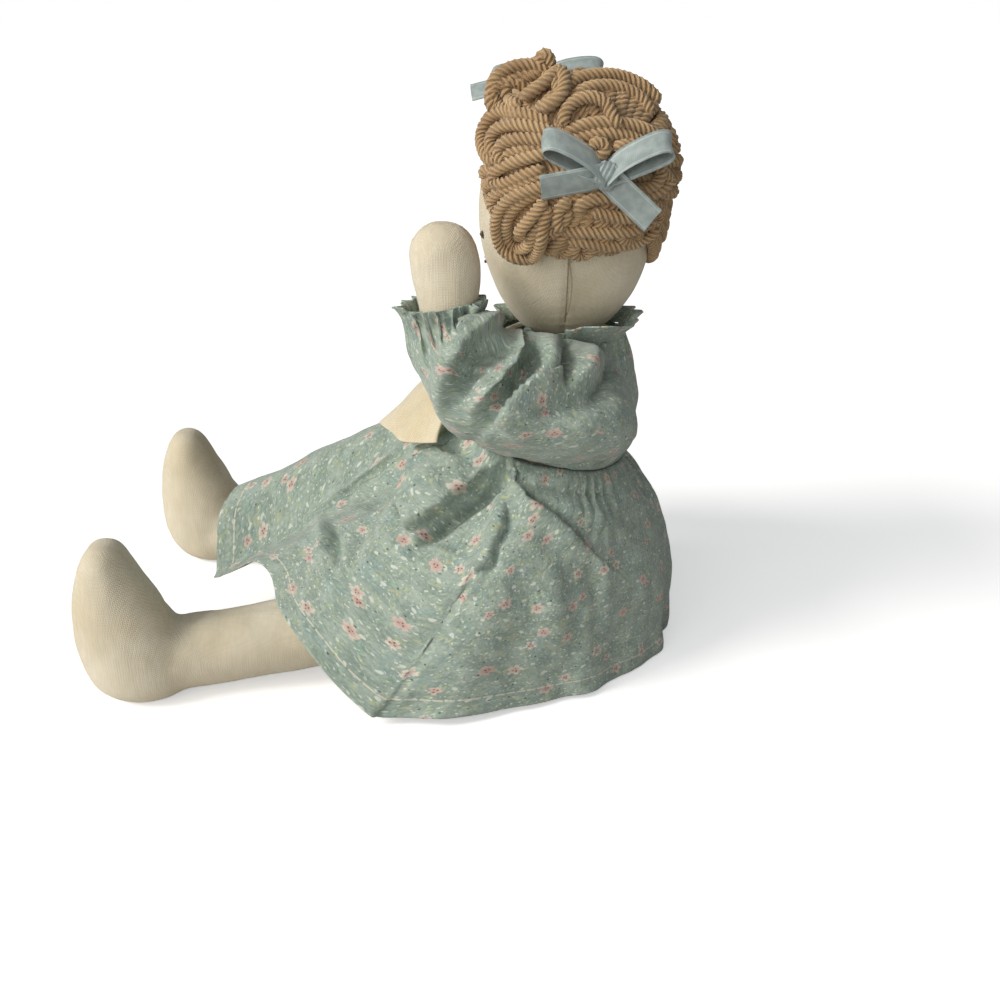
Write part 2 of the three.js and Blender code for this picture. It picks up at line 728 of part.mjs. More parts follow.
function sleeveSolid(line, fullness, grow, ends) {
  const rings = [];
  const rows = 8;
  const sides = 20;
  for (let row = 0; row <= rows; row += 1) {
    const t = row / rows;
    const along = line.getTangentAt(t);
    const side = new THREE.Vector3(1, 0, 0).addScaledVector(along, -along.x).normalize();
    const front = new THREE.Vector3().crossVectors(along, side);
    const gather = cuffGather * THREE.MathUtils.smoothstep(t, 0.5, 0.8);
    const puff = (fullness - cuffRadius) * readShares(puffShares, t);
    rings.push(Array.from({ length: sides }, (_, k) => {
      const turn = (2 * Math.PI * k) / sides;
      const radius = cuffRadius + puff + grow + gather * Math.cos(turn * cuffFolds);
      return line.getPointAt(t)
        .addScaledVector(side, radius * Math.cos(turn))
        .addScaledVector(front, radius * Math.sin(turn));
    }));
  }
  const startTip = line.getPointAt(0).addScaledVector(line.getTangentAt(0), -ends);
  const endTip = line.getPointAt(1).addScaledVector(line.getTangentAt(1), ends);
  if (ends > 0) {
    rings.unshift(rings[0].map((p) => p.clone().addScaledVector(line.getTangentAt(0), -ends / 2)));
    rings.push(rings[rings.length - 1].map((p) => p.clone().addScaledVector(line.getTangentAt(1), ends / 2)));
  }
  return toSolid(skinOver(rings, startTip, endTip));
}

const bodiceOutside = bodiceSolid(clearance, 0);
const frillRoom = toSolid(levelSkin([
  [frillBottom - clearance, necklineRadius, necklineRadius, 0],
  [frillBottom + frillHeight, necklineRadius + frillFlare, necklineRadius + frillFlare, 0],
], { grow: foldDepth + clearance, rows: 4 }));

function addSleeve(name, line, fullness) {
  const shell = sleeveSolid(line, fullness, 0, 0)
    .subtract(sleeveSolid(line, fullness, -clothWall, overrun))
    .subtract(bodiceOutside)
    .subtract(headSolid(clearance))
    .subtract(frillRoom)
    .subtract(skirtRoom)
    .subtract(skirtFront.translate([-clearance, clearance, clearance]))
    .subtract(skirtFront.translate([clearance, clearance, 0]))
    .subtract(armRoom);
  addPiece(name, toGeometry(mainPiece(shell)), calico);
}

const raisedElbow = raisedArmElbow();
const raisedCuff = raisedElbow.clone().add(new THREE.Vector3(0, 0, cuffRise));
const raisedSleeveLine = spineThrough(
  new THREE.Vector3(shoulderSpread - sleeveTuck, armRadius / 2, shoulderHeight - armRadius / 3),
  new THREE.Vector3(shoulderSpread, -raisedElbowForward * 0.45, shoulderHeight),
  new THREE.Vector3(shoulderSpread, -raisedElbowForward * 0.9, shoulderHeight + raisedElbowRise * 0.5),
  raisedCuff.clone().add(new THREE.Vector3(0, 0, sleeveHeading)),
);
addSleeve('sleeve_left', raisedSleeveLine, sleeveFullness);

const hangingEnd = hangingArmEnd();
const hangingCuff = hangingShoulder.clone().lerp(hangingEnd, hangingCuffShare);
const hangingWay = hangingEnd.clone().sub(hangingShoulder).normalize();
const hangingSleeveLine = spineThrough(
  hangingShoulder.clone().add(new THREE.Vector3(sleeveTuck, 0, 0)),
  hangingShoulder.clone().addScaledVector(hangingWay, armRadius / 3),
  hangingShoulder.clone().lerp(hangingCuff, 0.5),
  hangingCuff.clone().addScaledVector(hangingWay, sleeveHeading),
);
addSleeve('sleeve_right', hangingSleeveLine, hangingSleeveFullness);

// Elastic inside each cuff, a plain ring round the wrist

function addCuffElastic(name, place, way) {
  const ring = new THREE.TorusGeometry(cuffElasticRadius, elasticRadius, elasticSides, elasticSteps);
  ring.applyQuaternion(new THREE.Quaternion().setFromUnitVectors(new THREE.Vector3(0, 0, 1), way));
  ring.translate(place.x, place.y, place.z);
  addPiece(name, ring, elastic);
}
addCuffElastic('cuff_elastic_left', raisedCuff, new THREE.Vector3(0, 0, 1));
addCuffElastic('cuff_elastic_right', hangingCuff, hangingWay);

// Bib: a flared bell of muslin hung from the front of the neckline

function bibPlace(c, t) {
  const turn = THREE.MathUtils.degToRad(THREE.MathUtils.lerp(bibHalfAngle, -bibHalfAngle, c));
  const radius = THREE.MathUtils.lerp(bibTopRadius, bibHemRadius, t ** 0.8);
  const centreY = -THREE.MathUtils.lerp(clothWall * 2, bibHemForward - bibHemRadius, t);
  return new THREE.Vector3(
    radius * Math.sin(turn),
    centreY - radius * Math.cos(turn),
    neckline - clearance - bibDrop * t,
  );
}
const bib = clothPanel(bibPlace, 14, 7, bibCloth)
  .subtract(bodiceOutside)
  .subtract(sleeveSolid(raisedSleeveLine, sleeveFullness, 2 * clearance, 0))
  .subtract(frillRoom);
addPiece('bib', toGeometry(mainPiece(bib)), bibMuslin);

// Hair: a cap of sewn yarn, and a bunch of loops on each side of the head

const capLevels = [
  [hairline, headHalfWidth + 0.6 * hairDepth, headHalfDepth + 0.6 * hairDepth, -0.4 * hairDepth],
  [headBottom + 0.6 * headHeight, headHalfWidth + hairDepth, headHalfDepth + hairDepth, -0.2 * hairDepth],
  [headBottom + 0.76 * headHeight, 0.93 * headHalfWidth + hairDepth, 0.94 * headHalfDepth + hairDepth, 0],
  [headBottom + 0.9 * headHeight, 0.7 * headHalfWidth + hairDepth, 0.7 * headHalfDepth + hairDepth, 0],
  [headTop + 0.6 * hairDepth, 0.42 * headHalfWidth, 0.42 * headHalfDepth, 0],
  [headTop + hairDepth, 0.1 * headHalfWidth, 0.1 * headHalfDepth, 0],
];

function faceOpening() {
  const opening = new THREE.CylinderGeometry(1, 1, 2 * headHalfDepth, bodySides);
  opening.scale(faceHalfWidth, 1, faceHalfHeight);
  opening.translate(0, -headHalfDepth * 1.35, hairline);
  return toSolid(opening);
}
const capOutside = toSolid(levelSkin(capLevels));
const cap = capOutside.subtract(headSolid(clearance)).subtract(faceOpening());
addPiece('hair_cap', toGeometry(mainPiece(cap)), yarn);

const capRoom = toSolid(levelSkin(capLevels, { grow: clearance }));

function bunchSolid(side, height, topLoop) {
  const centre = new THREE.Vector3(side * headHalfWidth, bunchBack, height);
  const bunch = toSolid(ball(centre, 1, [bunchThickness, bunchHalfDepth, bunchHalfHeight]));
  const loops = toSolid(ball(topLoop, topLoopRadius));
  return joined(bunch, loops).subtract(capRoom).subtract(headSolid(clearance));
}

// Ribbon bows: a knot, two loops and two tails of one ribbon

function ribbonStrip(places, across, grow) {
  const line = new THREE.CatmullRomCurve3(places, false, 'centripetal');
  const steps = 7;
  const rings = [];
  for (let step = 0; step <= steps; step += 1) {
    const t = step / steps;
    const flat = new THREE.Vector3().crossVectors(line.getTangentAt(t), across).normalize();
    const wide = new THREE.Vector3().crossVectors(flat, line.getTangentAt(t)).normalize();
    rings.push([[1, -1], [1, 1], [-1, 1], [-1, -1]].map(([w, f]) => line.getPointAt(t)
      .addScaledVector(wide, w * (ribbonWidth / 2 + grow))
      .addScaledVector(flat, f * (ribbonThickness / 2 + grow))));
  }
  return toSolid(skinOver(rings, line.getPointAt(0), line.getPointAt(1)));
}

function bowSolid({ knot, out, loopWays, tailWays }, grow = 0) {
  const rise = out.clone().multiplyScalar(knotHalfThickness * 0.6);
  const strips = [];
  for (const way of loopWays) {
    const across = new THREE.Vector3().crossVectors(out, way).normalize();
    const end = knot.clone().addScaledVector(way, bowLoop);
    strips.push(ribbonStrip([
      knot.clone(),
      knot.clone().addScaledVector(way, bowLoop * 0.55).addScaledVector(out, bowLoop * 0.24),
      end.clone().addScaledVector(out, bowLoop * 0.16),
      end.clone().addScaledVector(out, bowLoop * 0.03),
      knot.clone().addScaledVector(way, bowLoop * 0.6).addScaledVector(out, -rise.length()),
      knot.clone().addScaledVector(out, -rise.length()),
    ], across, grow));
  }
  for (const way of tailWays) {
    const across = new THREE.Vector3().crossVectors(out, way).normalize();
    strips.push(ribbonStrip([
      knot.clone(),
      knot.clone().addScaledVector(way, bowTail * 0.5).addScaledVector(out, knotHalfThickness / 2),
      knot.clone().addScaledVector(way, bowTail),
    ], across, grow));
  }
  const knotBall = toSolid(ball(knot, knotHalfWidth + grow, [1, 1, 1], knotSides));
  return joined(knotBall, ...strips);
}

const leftBow = {
  knot: new THREE.Vector3(headHalfWidth + bunchThickness + knotHalfThickness, bowBack, bowHeight),
  out: new THREE.Vector3(1, 0, 0),
  loopWays: [new THREE.Vector3(0, -0.85, 0.53), new THREE.Vector3(0, 0.92, 0.39)],
  tailWays: [new THREE.Vector3(0, -1, -0.05).normalize(), new THREE.Vector3(0, 0.8, -0.6)],
};
const rightBow = {
  knot: new THREE.Vector3(-topBowOut, -topBowForward, headTop + topBowRise),
  out: new THREE.Vector3(-0.5, 0, 0.87).normalize(),
  loopWays: [new THREE.Vector3(0, 1, 0), new THREE.Vector3(0, -1, 0)],
  tailWays: [new THREE.Vector3(-0.08, -1.25, -0.28), new THREE.Vector3(-0.6, 0.7, -0.2).normalize()],
};
const leftTopLoop = new THREE.Vector3(topLoopOut, -topLoopForward, topLoopHeight);
const rightTopLoop = new THREE.Vector3(-topLoopOut, -topLoopForward, topLoopHeight - 2 * knotHalfWidth);
const bunches = [
  { side: 1, name: 'left', height: bunchHeight, topLoop: leftTopLoop, bow: leftBow },
  { side: -1, name: 'right', height: bunchHeight - knotHalfWidth, topLoop: rightTopLoop, bow: rightBow },
];
for (const { side, name, height, topLoop, bow } of bunches) {
  const bunch = mainPiece(bunchSolid(side, height, topLoop).subtract(bowSolid(bow, clearance)));
  addPiece(`hair_bunch_${name}`, toGeometry(bunch), yarn);
  addPiece(`bow_${name}`, toGeometry(bowSolid(bow)), satin);
}

export default doll;
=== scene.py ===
import bmesh
import bpy
import math
import numpy
import random
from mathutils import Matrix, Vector, noise
from mathutils.bvhtree import BVHTree


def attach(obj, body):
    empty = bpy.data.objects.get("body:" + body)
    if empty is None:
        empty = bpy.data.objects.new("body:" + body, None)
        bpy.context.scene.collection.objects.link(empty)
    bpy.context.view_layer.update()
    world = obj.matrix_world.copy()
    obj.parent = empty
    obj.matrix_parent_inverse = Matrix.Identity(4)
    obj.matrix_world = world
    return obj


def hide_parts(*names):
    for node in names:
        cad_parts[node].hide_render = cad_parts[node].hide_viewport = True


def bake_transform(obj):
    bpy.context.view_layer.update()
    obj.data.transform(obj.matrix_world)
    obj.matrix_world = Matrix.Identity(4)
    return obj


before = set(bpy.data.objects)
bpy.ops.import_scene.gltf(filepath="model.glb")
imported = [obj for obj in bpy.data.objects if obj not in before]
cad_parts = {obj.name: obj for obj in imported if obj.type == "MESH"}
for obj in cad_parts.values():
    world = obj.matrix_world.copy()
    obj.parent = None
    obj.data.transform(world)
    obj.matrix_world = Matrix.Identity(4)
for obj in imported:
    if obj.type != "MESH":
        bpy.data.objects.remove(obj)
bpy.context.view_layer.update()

# Studio
# The doll is seen from its left side, a little from above.
# It sits on a white floor, lit by a window, by a softer light from the room and by an even sky.

millimetre = 0.001
studio = bpy.context.scene
studio.view_settings.view_transform = "Standard"

# The lens looks level_share forward for every drop_share down; places are in millimetres
eye_place = Vector((366, -21, 212))
level_share, drop_share = 0.9128, 0.4083
# Spots in its picture are counted from the upper left corner, 500 before the middle
picture_middle, picture_scale = 500, 1080

lens = bpy.data.cameras.new("camera")
lens.lens = 38.9
lens.sensor_width = 36
camera = bpy.data.objects.new("camera", lens)
camera.location = eye_place * millimetre
camera.rotation_euler = (math.radians(65.9), 0, math.radians(90))
studio.collection.objects.link(camera)
studio.camera = camera


def feed(tree, socket, value):
    if isinstance(value, bpy.types.NodeSocket):
        tree.links.new(value, socket)
    else:
        socket.default_value = value


def put_node(tree, kind, inputs=None, **settings):
    node = tree.nodes.new("ShaderNode" + kind)
    for name, value in settings.items():
        setattr(node, name, value)
    for socket, value in (inputs or {}).items():
        feed(tree, node.inputs[socket], value)
    return node


class Paint:
    """A material, with a short word for each kind of node that it is mixed from."""

    def __init__(self, name):
        self.material = bpy.data.materials.new(name)
        self.material.use_nodes = True
        self.tree = self.material.node_tree

    def node(self, kind, inputs=None, **settings):
        return put_node(self.tree, kind, inputs, **settings)

    def sewn_place(self):
        """The place on the flat cloth, as it was cut."""
        return self.node("UVMap", uv_map="cloth").outputs["UV"]

    def math(self, kind, first, second=0.0, third=0.0):
        return self.node("Math", {0: first, 1: second, 2: third}, operation=kind).outputs[0]

    def times(self, first, second):
        return self.math("MULTIPLY", first, second)

    def vector(self, kind, first, second=(0, 0, 0)):
        made = self.node("VectorMath", {0: first, 1: second}, operation=kind)
        return made.outputs["Value" if kind in ("DOT_PRODUCT", "LENGTH") else "Vector"]

    def scale(self, vector, amount):
        return self.node("VectorMath", {0: vector, "Scale": amount}, operation="SCALE").outputs["Vector"]

    def split(self, vector):
        return self.node("SeparateXYZ", {0: vector}).outputs

    def noise(self, place, scale, detail, roughness=0.5, output="Fac"):
        return self.node("TexNoise", {
            "Vector": place, "Scale": scale, "Detail": detail, "Roughness": roughness}).outputs[output]

    def steps(self, value, low, high, to_low=0.0, to_high=1.0):
        return self.node("MapRange", {
            "Value": value, "From Min": low, "From Max": high,
            "To Min": to_low, "To Max": to_high}).outputs["Result"]

    def edge(self, value, inside, outside):
        """1 where the value has reached inside and 0 where it has reached outside, softly between."""
        return self.node("MapRange", {
            "Value": value, "From Min": outside, "From Max": inside},
            interpolation_type="SMOOTHSTEP").outputs["Result"]

    def over(self, mask, under, colour):
        return self.node("Mix", {"Factor": mask, "A": under, "B": colour}, data_type="RGBA").outputs["Result"]

    def bump(self, height, strength, distance, under=None, invert=False):
        inputs = {"Height": height, "Strength": strength, "Distance": distance}
        if under is not None:
            inputs["Normal"] = under
        return self.node("Bump", inputs, invert=invert).outputs["Normal"]

    def finish(self, inputs):
        surface = self.tree.nodes["Principled BSDF"]
        for socket, value in inputs.items():
            feed(self.tree, surface.inputs[socket], value)
        return self.material


white = (1, 1, 1, 1)
sky = bpy.data.worlds.new("sky")
studio.world = sky
sky.use_nodes = True
sky_tree = sky.node_tree
seen = put_node(sky_tree, "LightPath").outputs["Is Camera Ray"]
ambient = put_node(sky_tree, "Background", {"Color": (0.92, 0.96, 1, 1), "Strength": 0.22})
backdrop = put_node(sky_tree, "Background", {"Color": white, "Strength": 1})
sky_mix = put_node(sky_tree, "MixShader", {0: seen, 1: ambient.outputs[0], 2: backdrop.outputs[0]})
feed(sky_tree, sky_tree.nodes["World Output"].inputs["Surface"], sky_mix.outputs[0])


def add_daylight(name, towards, strength, softness, colour):
    light = bpy.data.lights.new(name, "SUN")
    light.energy = strength
    light.angle = math.radians(softness)
    light.color = colour
    lamp = bpy.data.objects.new(name, light)
    lamp.rotation_euler = Vector(towards).to_track_quat("-Z", "Y").to_euler()
    studio.collection.objects.link(lamp)


add_daylight("window", (-0.30, 0.75, -0.60), strength=2.0, softness=22, colour=(1, 0.97, 0.92))
add_daylight("room", (-0.76, 0.48, -0.22), strength=1.4, softness=50, colour=(1, 0.98, 0.95))

# The floor glows a little to the lens, so that it shows as white as the sky
floor_paint = Paint("floor paint")
floor_seen = floor_paint.node("LightPath").outputs["Is Camera Ray"]
floor_glow = 0.45
ground = bmesh.new()
bmesh.ops.create_grid(ground, x_segments=1, y_segments=1, size=40)
ground_mesh = bpy.data.meshes.new("floor")
ground.to_mesh(ground_mesh)
ground.free()
ground_mesh.materials.append(floor_paint.finish({
    "Base Color": floor_paint.over(floor_seen, (0.62, 0.60, 0.57, 1), white), "Roughness": 0.9,
    "Emission Color": white, "Emission Strength": floor_paint.times(floor_seen, floor_glow)}))
floor = bpy.data.objects.new("floor", ground_mesh)
studio.collection.objects.link(floor)

# Legs
# Each leg is a bag of unbleached muslin stuffed with fibre, with the foot turned up.
# One seam runs down the front of the shin to the toe.


def tone(code):
    """A colour written the way a paint chart writes it, as light."""
    parts = [int(code[i:i + 2], 16) / 255 for i in (0, 2, 4)]
    return (*[c / 12.92 if c < 0.04045 else ((c + 0.055) / 1.055) ** 2.4 for c in parts], 1)


def muslin_material(name, pale, warm, bump=0.25):
    """Plain woven cotton: a fine thread grid, soft stains, thick threads and a few dark seed flecks."""
    paint = Paint(name)
    place = paint.node("TexCoord").outputs["Object"]
    stain = paint.noise(place, scale=38, detail=5, roughness=0.62)
    cloth = paint.over(paint.steps(stain, low=0.35, high=0.68), tone(warm), tone(pale))
    # A lattice of crossing waves: any cut through it looks like a weave
    finer = paint.scale(place, 7600)
    x, y, z = paint.split(paint.vector("COSINE", finer))
    turned = paint.node("CombineXYZ", {0: y, 1: z, 2: x}).outputs[0]
    weave = paint.vector("DOT_PRODUCT", paint.vector("SINE", finer), turned)
    slub = paint.noise(paint.vector("MULTIPLY", place, (420, 900, 140)), scale=1, detail=3)
    shade = paint.times(paint.steps(slub, low=0.4, high=0.62, to_low=0.97, to_high=1.02),
                        paint.steps(weave, low=-1.2, high=1.2, to_low=0.93, to_high=1.04))
    seed = paint.node("TexVoronoi", {"Vector": place, "Scale": 90, "Randomness": 1})
    chance = paint.node("SeparateColor", {0: seed.outputs["Color"]}).outputs[0]
    fleck = paint.times(paint.math("GREATER_THAN", chance, 0.86),
                        paint.steps(seed.outputs["Distance"], low=0.035, high=0.05, to_low=0.75, to_high=0))
    crease = paint.noise(place, scale=160, detail=3)
    creased = paint.bump(crease, strength=bump, distance=0.0011)
    return paint.finish({
        "Base Color": paint.over(fleck, paint.scale(cloth, shade), tone("4a3524")),
        "Normal": paint.bump(weave, strength=0.3, distance=0.00012, under=creased),
        "Roughness": 0.92, "Specular IOR Level": 0.2, "Sheen Weight": 0.25, "Sheen Roughness": 0.6})


muslin = muslin_material("muslin", "e8dfc9", "dacdb0")


def woven(columns, rows, place, cut=(1, 1), shape=None):
    """A grid of cloth, cut to a flat size, with its corners moved to place(across, along), in millimetres."""
    shape = shape or bmesh.new()
    plan = shape.loops.layers.uv.get("cloth") or shape.loops.layers.uv.new("cloth")
    verts = bmesh.ops.create_grid(shape, x_segments=columns, y_segments=rows, size=0.5)["verts"]
    for face in {face for vert in verts for face in vert.link_faces}:
        for loop in face.loops:
            across, along = loop.vert.co.x + 0.5, loop.vert.co.y + 0.5
            loop[plan].uv = (across * cut[0] * millimetre, along * cut[1] * millimetre)
    for vert in verts:
        vert.co = Vector(place(vert.co.x + 0.5, vert.co.y + 0.5)) * millimetre
    return shape


def make_piece(name, shape, material):
    mesh = bpy.data.meshes.new(name)
    shape.to_mesh(mesh)
    shape.free()
    mesh.materials.append(material)
    mesh.shade_smooth()
    piece = bpy.data.objects.new(name, mesh)
    studio.collection.objects.link(piece)
    return piece


def fasten(piece, body, slot, *nodes):
    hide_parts(*nodes)
    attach(piece, body)


def closed(shape):
    bmesh.ops.remove_doubles(shape, verts=shape.verts, dist=0.01 * millimetre)
    bmesh.ops.recalc_face_normals(shape, faces=shape.faces)
    return shape


def apply_modifier(piece, kind, **settings):
    modifier = piece.modifiers.new(kind.lower(), kind)
    for name, value in settings.items():
        setattr(modifier, name, value)
    bpy.context.view_layer.objects.active = piece
    with bpy.context.temp_override(object=piece, active_object=piece, selected_objects=[piece]):
        bpy.ops.object.modifier_apply(modifier=modifier.name)


def join_tubes(name, tubes, material, voxel, calm):
    """One skin round several closed tubes, with its joins smoothed calm times."""
    shape = bmesh.new()
    for tube in tubes:
        closed(tube)
        part = bpy.data.meshes.new("part")
        tube.to_mesh(part)
        tube.free()
        shape.from_mesh(part)
        bpy.data.meshes.remove(part)
    piece = make_piece(name, shape, material)
    apply_modifier(piece, "REMESH", mode="VOXEL", voxel_size=voxel * millimetre)
    apply_modifier(piece, "SMOOTH", factor=0.5, iterations=calm)
    return piece


def along_line(points, t):
    """A place on a smooth line through the points, by share of the way along."""
    spot = min(max(t, 0), 1) * (len(points) - 1)
    first = min(int(spot), len(points) - 2)
    part = spot - first
    before, start, end, after = (
        Vector(points[min(max(first + k, 0), len(points) - 1)]) for k in (-1, 0, 1, 2))
    return 0.5 * (2 * start + (end - before) * part + (2 * before - 5 * start + 4 * end - after) * part ** 2
                  + (3 * start - before - 3 * end + after) * part ** 3)


def heading(points, t):
    return (along_line(points, t + 0.01) - along_line(points, t - 0.01)).normalized()


def ring_ways(ahead):
    """The ways across a ring that stands square to the way ahead."""
    side = (Vector((1, 0, 0)) - ahead * ahead.x).normalized()
    return side, ahead.cross(side)


def ring_tube(levels, columns, rows):
    """A tube through rings of [x, y, z, half width, half depth] that lean with the line of their middles."""
    middles = [level[:3] for level in levels]
    sizes = [(*level[3:], 0) for level in levels]

    def place(across, along):
        turn = 2 * math.pi * across
        size = along_line(sizes, along)
        side, up = ring_ways(heading(middles, along))
        return along_line(middles, along) + side * size.x * math.cos(turn) + up * size.y * math.sin(turn)

    return woven(columns, rows, place)


def level_tube(levels, columns, rows):
    """A tube through level rings of [x, y, z, half width, half depth]."""
    middles = [level[:3] for level in levels]
    sizes = [(*level[3:], 0) for level in levels]

    def place(across, along):
        turn = 2 * math.pi * across
        x, y, z = along_line(middles, along)
        half, deep, _ = along_line(sizes, along)
        return x + max(half, 0) * math.cos(turn), y + max(deep, 0) * math.sin(turn), z

    return woven(columns, rows, place)


def push_out(piece, amount):
    """Moves every corner along the surface's own direction by amount(place, direction), in millimetres."""
    mesh = piece.data
    spots = [vert.co / millimetre for vert in mesh.vertices]
    ways = [vert.normal.copy() for vert in mesh.vertices]
    moved = [spot + way * amount(spot, way) for spot, way in zip(spots, ways)]
    mesh.vertices.foreach_set("co", [value * millimetre for spot in moved for value in spot])
    mesh.update()


def hill(value, middle, width):
    """1 at the middle of a soft round rise, and next to nothing two widths away."""
    return math.exp(-((value - middle) / width) ** 2)


hip, heel = 25, 52
shin_start, shin_end = 12, 146
# Rings of the leg from the hip to behind the foot: how far out, y, z, half width, half depth
thigh_rings = [
    (0, 4, 23, 0.3, 0.3), (0, 0, 23, 9, 9), (0.5, -6, 23, 13.8, 13.8), (4, -32, 21, 14.4, 14.2),
    (11, -70, 17.5, 13.6, 13.2), (19, -108, 14.4, 12.9, 12.6), (25, -138, 12.9, 12.8, 12.4),
    (27, -150, 13, 9, 9), (27, -153, 13, 0.3, 0.3)]
# Rings of the foot from the sole up: z, the front's y, the back's y, half width
foot_rings = [
    (0.1, -148, -140, 4), (1.2, -154.5, -131, 9.6), (4, -158.6, -127, 12.4), (9, -161.6, -125, 13.9),
    (16, -163.4, -126, 14.4), (24, -163.8, -128.6, 14.2), (32, -163.3, -132.4, 13.4),
    (40, -161.8, -136.8, 12.2), (47, -159.6, -140.4, 10.9), (52, -157.4, -143, 9.2),
    (55, -155.2, -145.6, 6.6), (56.6, -152.8, -148.4, 3)]
for name, side in (("leg_left", 1), ("leg_right", -1)):
    thigh = ring_tube([[side * (hip + out), *ring] for out, *ring in thigh_rings], 40, 60)
    foot = closed(level_tube([[side * heel, (front + back) / 2, z, half, (back - front) / 2]
                              for z, front, back, half in foot_rings], 36, 40))
    bmesh.ops.holes_fill(foot, edges=[edge for edge in foot.edges if edge.is_boundary])
    leg = join_tubes(name + "_skin", [thigh, foot], muslin, voxel=1.8, calm=7)

    def leg_surface(spot, way):
        x, y, z = spot
        # The front seam is a shallow groove, and the ankle wrinkles where the foot turns up
        down_leg = min(max((-y - shin_start) / (shin_end - shin_start), 0), 1)
        groove = hill(x, side * (hip + (heel - hip) * down_leg), 0.9)
        above = 1 if way.z > 0.1 or (z > 20 and way.y > 0.1) else 0
        ankle = hill(y, -128, 12) * hill(z, 30, 12)
        wrinkle = 0.35 * ankle * math.sin(z * 0.9 + x * 0.25 + y * 0.5)
        lumps = 0.7 * noise.noise(spot * 0.06) + 0.22 * noise.noise(Vector((x, y, z + 50)) * 0.16)
        return lumps + wrinkle - 0.55 * groove * above

    push_out(leg, leg_surface)
    for vert in leg.data.vertices:
        vert.co.z = max(vert.co.z, 0.1 * millimetre)
    leg.data.shade_smooth()
    fasten(leg, name, "muslin", name)

# Arms
# Two stuffed muslin mitts without thumbs, sewn to the shoulders inside the sleeves.
# The left one is raised beside the cheek and bends at the cuff; the right one hangs.

shoulder_out = 34
raised_arm = join_tubes("arm_left_skin", [
    ring_tube([[shoulder_out, *ring] for ring in (
        (9, 103, 0.3, 0.3), (7, 104, 6, 6), (2, 105, 9, 9), (-14, 109, 8.8, 8.8),
        (-30, 115, 8.2, 8.2), (-40, 119, 6, 6), (-43, 120.5, 0.3, 0.3))], 28, 40),
    ring_tube([[shoulder_out, *ring] for ring in (
        (-37, 110, 0.3, 0.3), (-37, 112, 6, 6), (-37, 118, 8.1, 8.3), (-37, 127, 8.5, 9),
        (-37.3, 135, 8.8, 10.4), (-37.8, 142, 8.8, 11.1), (-38.4, 148, 8.3, 10.6),
        (-38.8, 152.4, 6.6, 8.3), (-39, 155, 3.8, 4.8), (-39, 155.8, 0.3, 0.3))], 32, 56),
], muslin, voxel=1.4, calm=6)


def stuff_unevenly(piece, amount, offset):
    away = Vector((offset, 0, 0))
    push_out(piece, lambda spot, way: amount * (
        noise.noise(spot * 0.07 + away) + 0.4 * noise.noise(spot * 0.19)))
    piece.data.shade_smooth()


def mitt_seam(spot, way):
    # The mitt's seam runs up the edge nearest the face and over the top
    here = spot.z > 122 and (way.y > 0.1 or way.z > 0.5)
    return -0.6 * hill(spot.x, shoulder_out, 0.8) if here else 0


push_out(raised_arm, mitt_seam)
stuff_unevenly(raised_arm, 0.45, offset=3)

shoulder, fingers = Vector((-shoulder_out, 0, 106)), Vector((-75, -25, 47.1))
hang_shares = (-0.12, -0.08, 0, 0.3, 0.6, 0.76, 0.88, 0.96, 1)
hang_girths = (0.3, 6, 9, 9, 8.5, 9.8, 9.6, 6, 0.3)
hang_flatness = (1, 1, 1, 1, 1, 1.12, 1.12, 1.12, 1.12)
hanging_arm = join_tubes("arm_right_skin", [
    ring_tube([[*shoulder.lerp(fingers, share), girth, girth * flatness]
               for share, girth, flatness in zip(hang_shares, hang_girths, hang_flatness)], 30, 70),
], muslin, voxel=1.5, calm=4)
stuff_unevenly(hanging_arm, 0.45, offset=7)
for arm, name in ((raised_arm, "arm_left"), (hanging_arm, "arm_right")):
    fasten(arm, name, "muslin", name)

# Torso and neck
# Under the dress the body is one stuffed bag that narrows to a short neck.
# The neck turns in the frill, and the head sits on its round top.

torso_skin = make_piece("torso_skin", closed(level_tube([
    [0, 8, 13, 0.2, 0.2], [0, 8, 13.6, 14, 10], [0, 8, 17, 22, 16], [0, 7.5, 30, 27, 19],
    [0, 5, 53, 27, 19], [0, 3, 78, 25, 17], [0, 1, 92, 21.5, 14.5], [0, 0, 99, 15, 12],
    [0, 0, 103, 10.4, 9.8], [0, 0, 103.8, 0.2, 0.2]], 60, 60)), muslin)
hip_y, hip_z, hip_hollow = -12, 23, 15.8
hollow_half, hollow_back, least_gap = 16, 3.4, 0.01
for vert in torso_skin.data.vertices:
    x, y, z = vert.co / millimetre
    # The thighs are sewn into the lower front corners, so the bag is drawn in there
    for side in (-1, 1):
        gap = math.hypot(y - hip_y, z - hip_z)
        if gap < hip_hollow and abs(x - side * hip) < hollow_half:
            ahead = y - hip_y + least_gap
            drawn = hip_y + hip_hollow * ahead / max(gap, least_gap) if y > hip_y else hollow_back
            vert.co.y = max(drawn * millimetre, hollow_back * millimetre)
fasten(torso_skin, "body", "muslin", "torso")

neck_skin = make_piece("neck_skin", closed(level_tube([
    [0, 0, 104.7, 0.2, 0.2], [0, 0, 105, 7.4, 7.4], [0, 0, 107, 8.6, 8.6], [0, 0, 111, 8.2, 8.2],
    [0, 0, 115, 5.4, 5.4], [0, 0, 117, 1.6, 1.6], [0, 0, 117.2, 0.2, 0.2]], 40, 24)), muslin)
fasten(neck_skin, "neck", "muslin", "neck")

# Head
# A muslin ball of two halves, tightly stuffed, with its seam down each side.
# Underneath it has a cup for the neck's round top.

